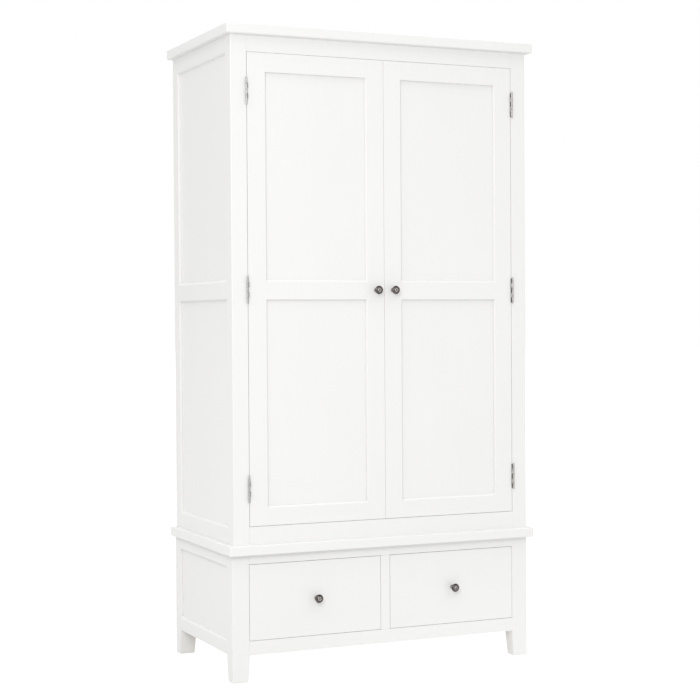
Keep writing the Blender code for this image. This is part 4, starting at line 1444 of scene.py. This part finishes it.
def build_floor():
    """A pale floor, seen nearly white, that glows softly: more on the left and in a pool by the wardrobe."""
    shape = bmesh.new()
    bmesh.ops.create_circle(shape, cap_ends=True, segments=FLOOR_SEGMENTS, radius=FLOOR_RADIUS)
    mesh = mesh_from(shape)
    floor = bpy.data.objects.new("studio_floor", mesh)
    bpy.context.scene.collection.objects.link(floor)
    material, tree, shader = new_material("studio_floor_white", 0.9)
    place = object_place(tree)
    cloud = stretched_noise(tree, place, EVEN, 2.0, 2.0)
    tone = ramp(tree, cloud, ((0.3, (FLOOR_TONE * FLOOR_MOTTLE,) * 3), (0.7, (FLOOR_TONE,) * 3)))
    tree.links.new(tone, shader.inputs["Base Color"])
    shader.inputs["Specular IOR Level"].default_value = 0.0
    shader.inputs["Emission Color"].default_value = (*WHITE, 1.0)
    reach = add_node(tree, "ShaderNodeVectorMath", operation="DISTANCE")
    reach.inputs[1].default_value = FLOOR_POOL_PLACE
    tree.links.new(place, reach.inputs[0])
    x, _, _ = separated(tree, place)
    glow = remap(tree, x, (FLOOR_GLOW, FLOOR_LEFT_GLOW), FLOOR_LEFT, "SMOOTHSTEP")
    pool = remap(tree, reach.outputs["Value"], (FLOOR_POOL, 0.0), FLOOR_POOL_REACH, "SMOOTHSTEP")
    ray = add_node(tree, "ShaderNodeLightPath").outputs["Is Camera Ray"]
    strength = add_node(tree, "ShaderNodeMix", data_type="FLOAT")
    strength.inputs[3].default_value = FLOOR_SEEN
    tree.links.new(ray, strength.inputs[0])
    tree.links.new(combined(tree, "ADD", glow, pool), strength.inputs[2])
    tree.links.new(strength.outputs[0], shader.inputs["Emission Strength"])
    mesh.materials.append(material)


def combined(tree, operation, first, second):
    """The sum, product or larger one of two values."""
    node = add_node(tree, "ShaderNodeMath", operation=operation)
    tree.links.new(first, node.inputs[0])
    tree.links.new(second, node.inputs[1])
    return node.outputs[0]


def build_world():
    """Soft white light from all round, stronger from above and a little stronger from the left."""
    world = bpy.data.worlds.new("studio_world")
    bpy.context.scene.world = world
    world.use_nodes = True
    tree = world.node_tree
    background = tree.nodes["Background"]
    x, _, z = separated(tree, add_node(tree, "ShaderNodeTexCoord").outputs["Generated"])
    sides = remap(tree, x, (WORLD_SIDES, WORLD_SIDES * WORLD_LEFT), (0.0, -1.0))
    top = remap(tree, z, (1.0, WORLD_TOP / WORLD_SIDES), WORLD_TOP_SPAN, "SMOOTHSTEP")
    ray = add_node(tree, "ShaderNodeLightPath").outputs["Is Camera Ray"]
    strength = combined(tree, "MAXIMUM", combined(tree, "MULTIPLY", sides, top), ray)
    background.inputs["Color"].default_value = (*WHITE, 1.0)
    tree.links.new(strength, background.inputs["Strength"])
    bpy.context.scene.view_settings.view_transform = "Standard"


def add_softbox(name, place, target, size, power):
    """A large soft lamp aimed at a point."""
    lamp = bpy.data.lights.new(name, "AREA")
    lamp.shape = "RECTANGLE"
    lamp.size, lamp.size_y = size
    lamp.energy = power
    holder = bpy.data.objects.new(name, lamp)
    holder.location = place
    holder.rotation_mode = "QUATERNION"
    holder.rotation_quaternion = (Vector(target) - Vector(place)).to_track_quat("-Z", "Y")
    holder.visible_camera = False
    bpy.context.scene.collection.objects.link(holder)


def build_lights():
    """A softbox in front to the left, a little above the wardrobe, and a weak fill from the right."""
    add_softbox("key_softbox", KEY_PLACE, KEY_AIM, KEY_SIZE, KEY_POWER)
    add_softbox("fill_softbox", FILL_PLACE, FILL_AIM, FILL_SIZE, FILL_POWER)


def build_camera():
    """The camera, level with the middle of the doors and to the left of them."""
    forward = Vector((
        math.sin(CAMERA_YAW) * math.cos(CAMERA_PITCH),
        math.cos(CAMERA_YAW) * math.cos(CAMERA_PITCH),
        math.sin(CAMERA_PITCH),
    ))
    level = Vector((math.cos(CAMERA_YAW), -math.sin(CAMERA_YAW), 0.0))
    up = level.cross(forward)
    right = level * math.cos(CAMERA_ROLL) + up * math.sin(CAMERA_ROLL)
    above = up * math.cos(CAMERA_ROLL) - level * math.sin(CAMERA_ROLL)
    turn = Matrix((right, above, -forward)).transposed()
    data = bpy.data.cameras.new("photo_camera")
    data.lens = CAMERA_LENS
    data.sensor_width = CAMERA_SENSOR
    data.clip_end = CAMERA_FAR
    camera = bpy.data.objects.new("photo_camera", data)
    camera.matrix_world = Matrix.Translation(Vector(CAMERA_PLACE)) @ turn.to_4x4()
    bpy.context.scene.collection.objects.link(camera)
    bpy.context.scene.camera = camera


build_boards()
build_posts()
build_side_frames()
build_carcass()
build_hanging_rail()
build_catch()
build_legs()
build_base()
build_runners()
build_hinges()
build_doors()
build_drawers()
build_floor()
build_world()
build_lights()
build_camera()
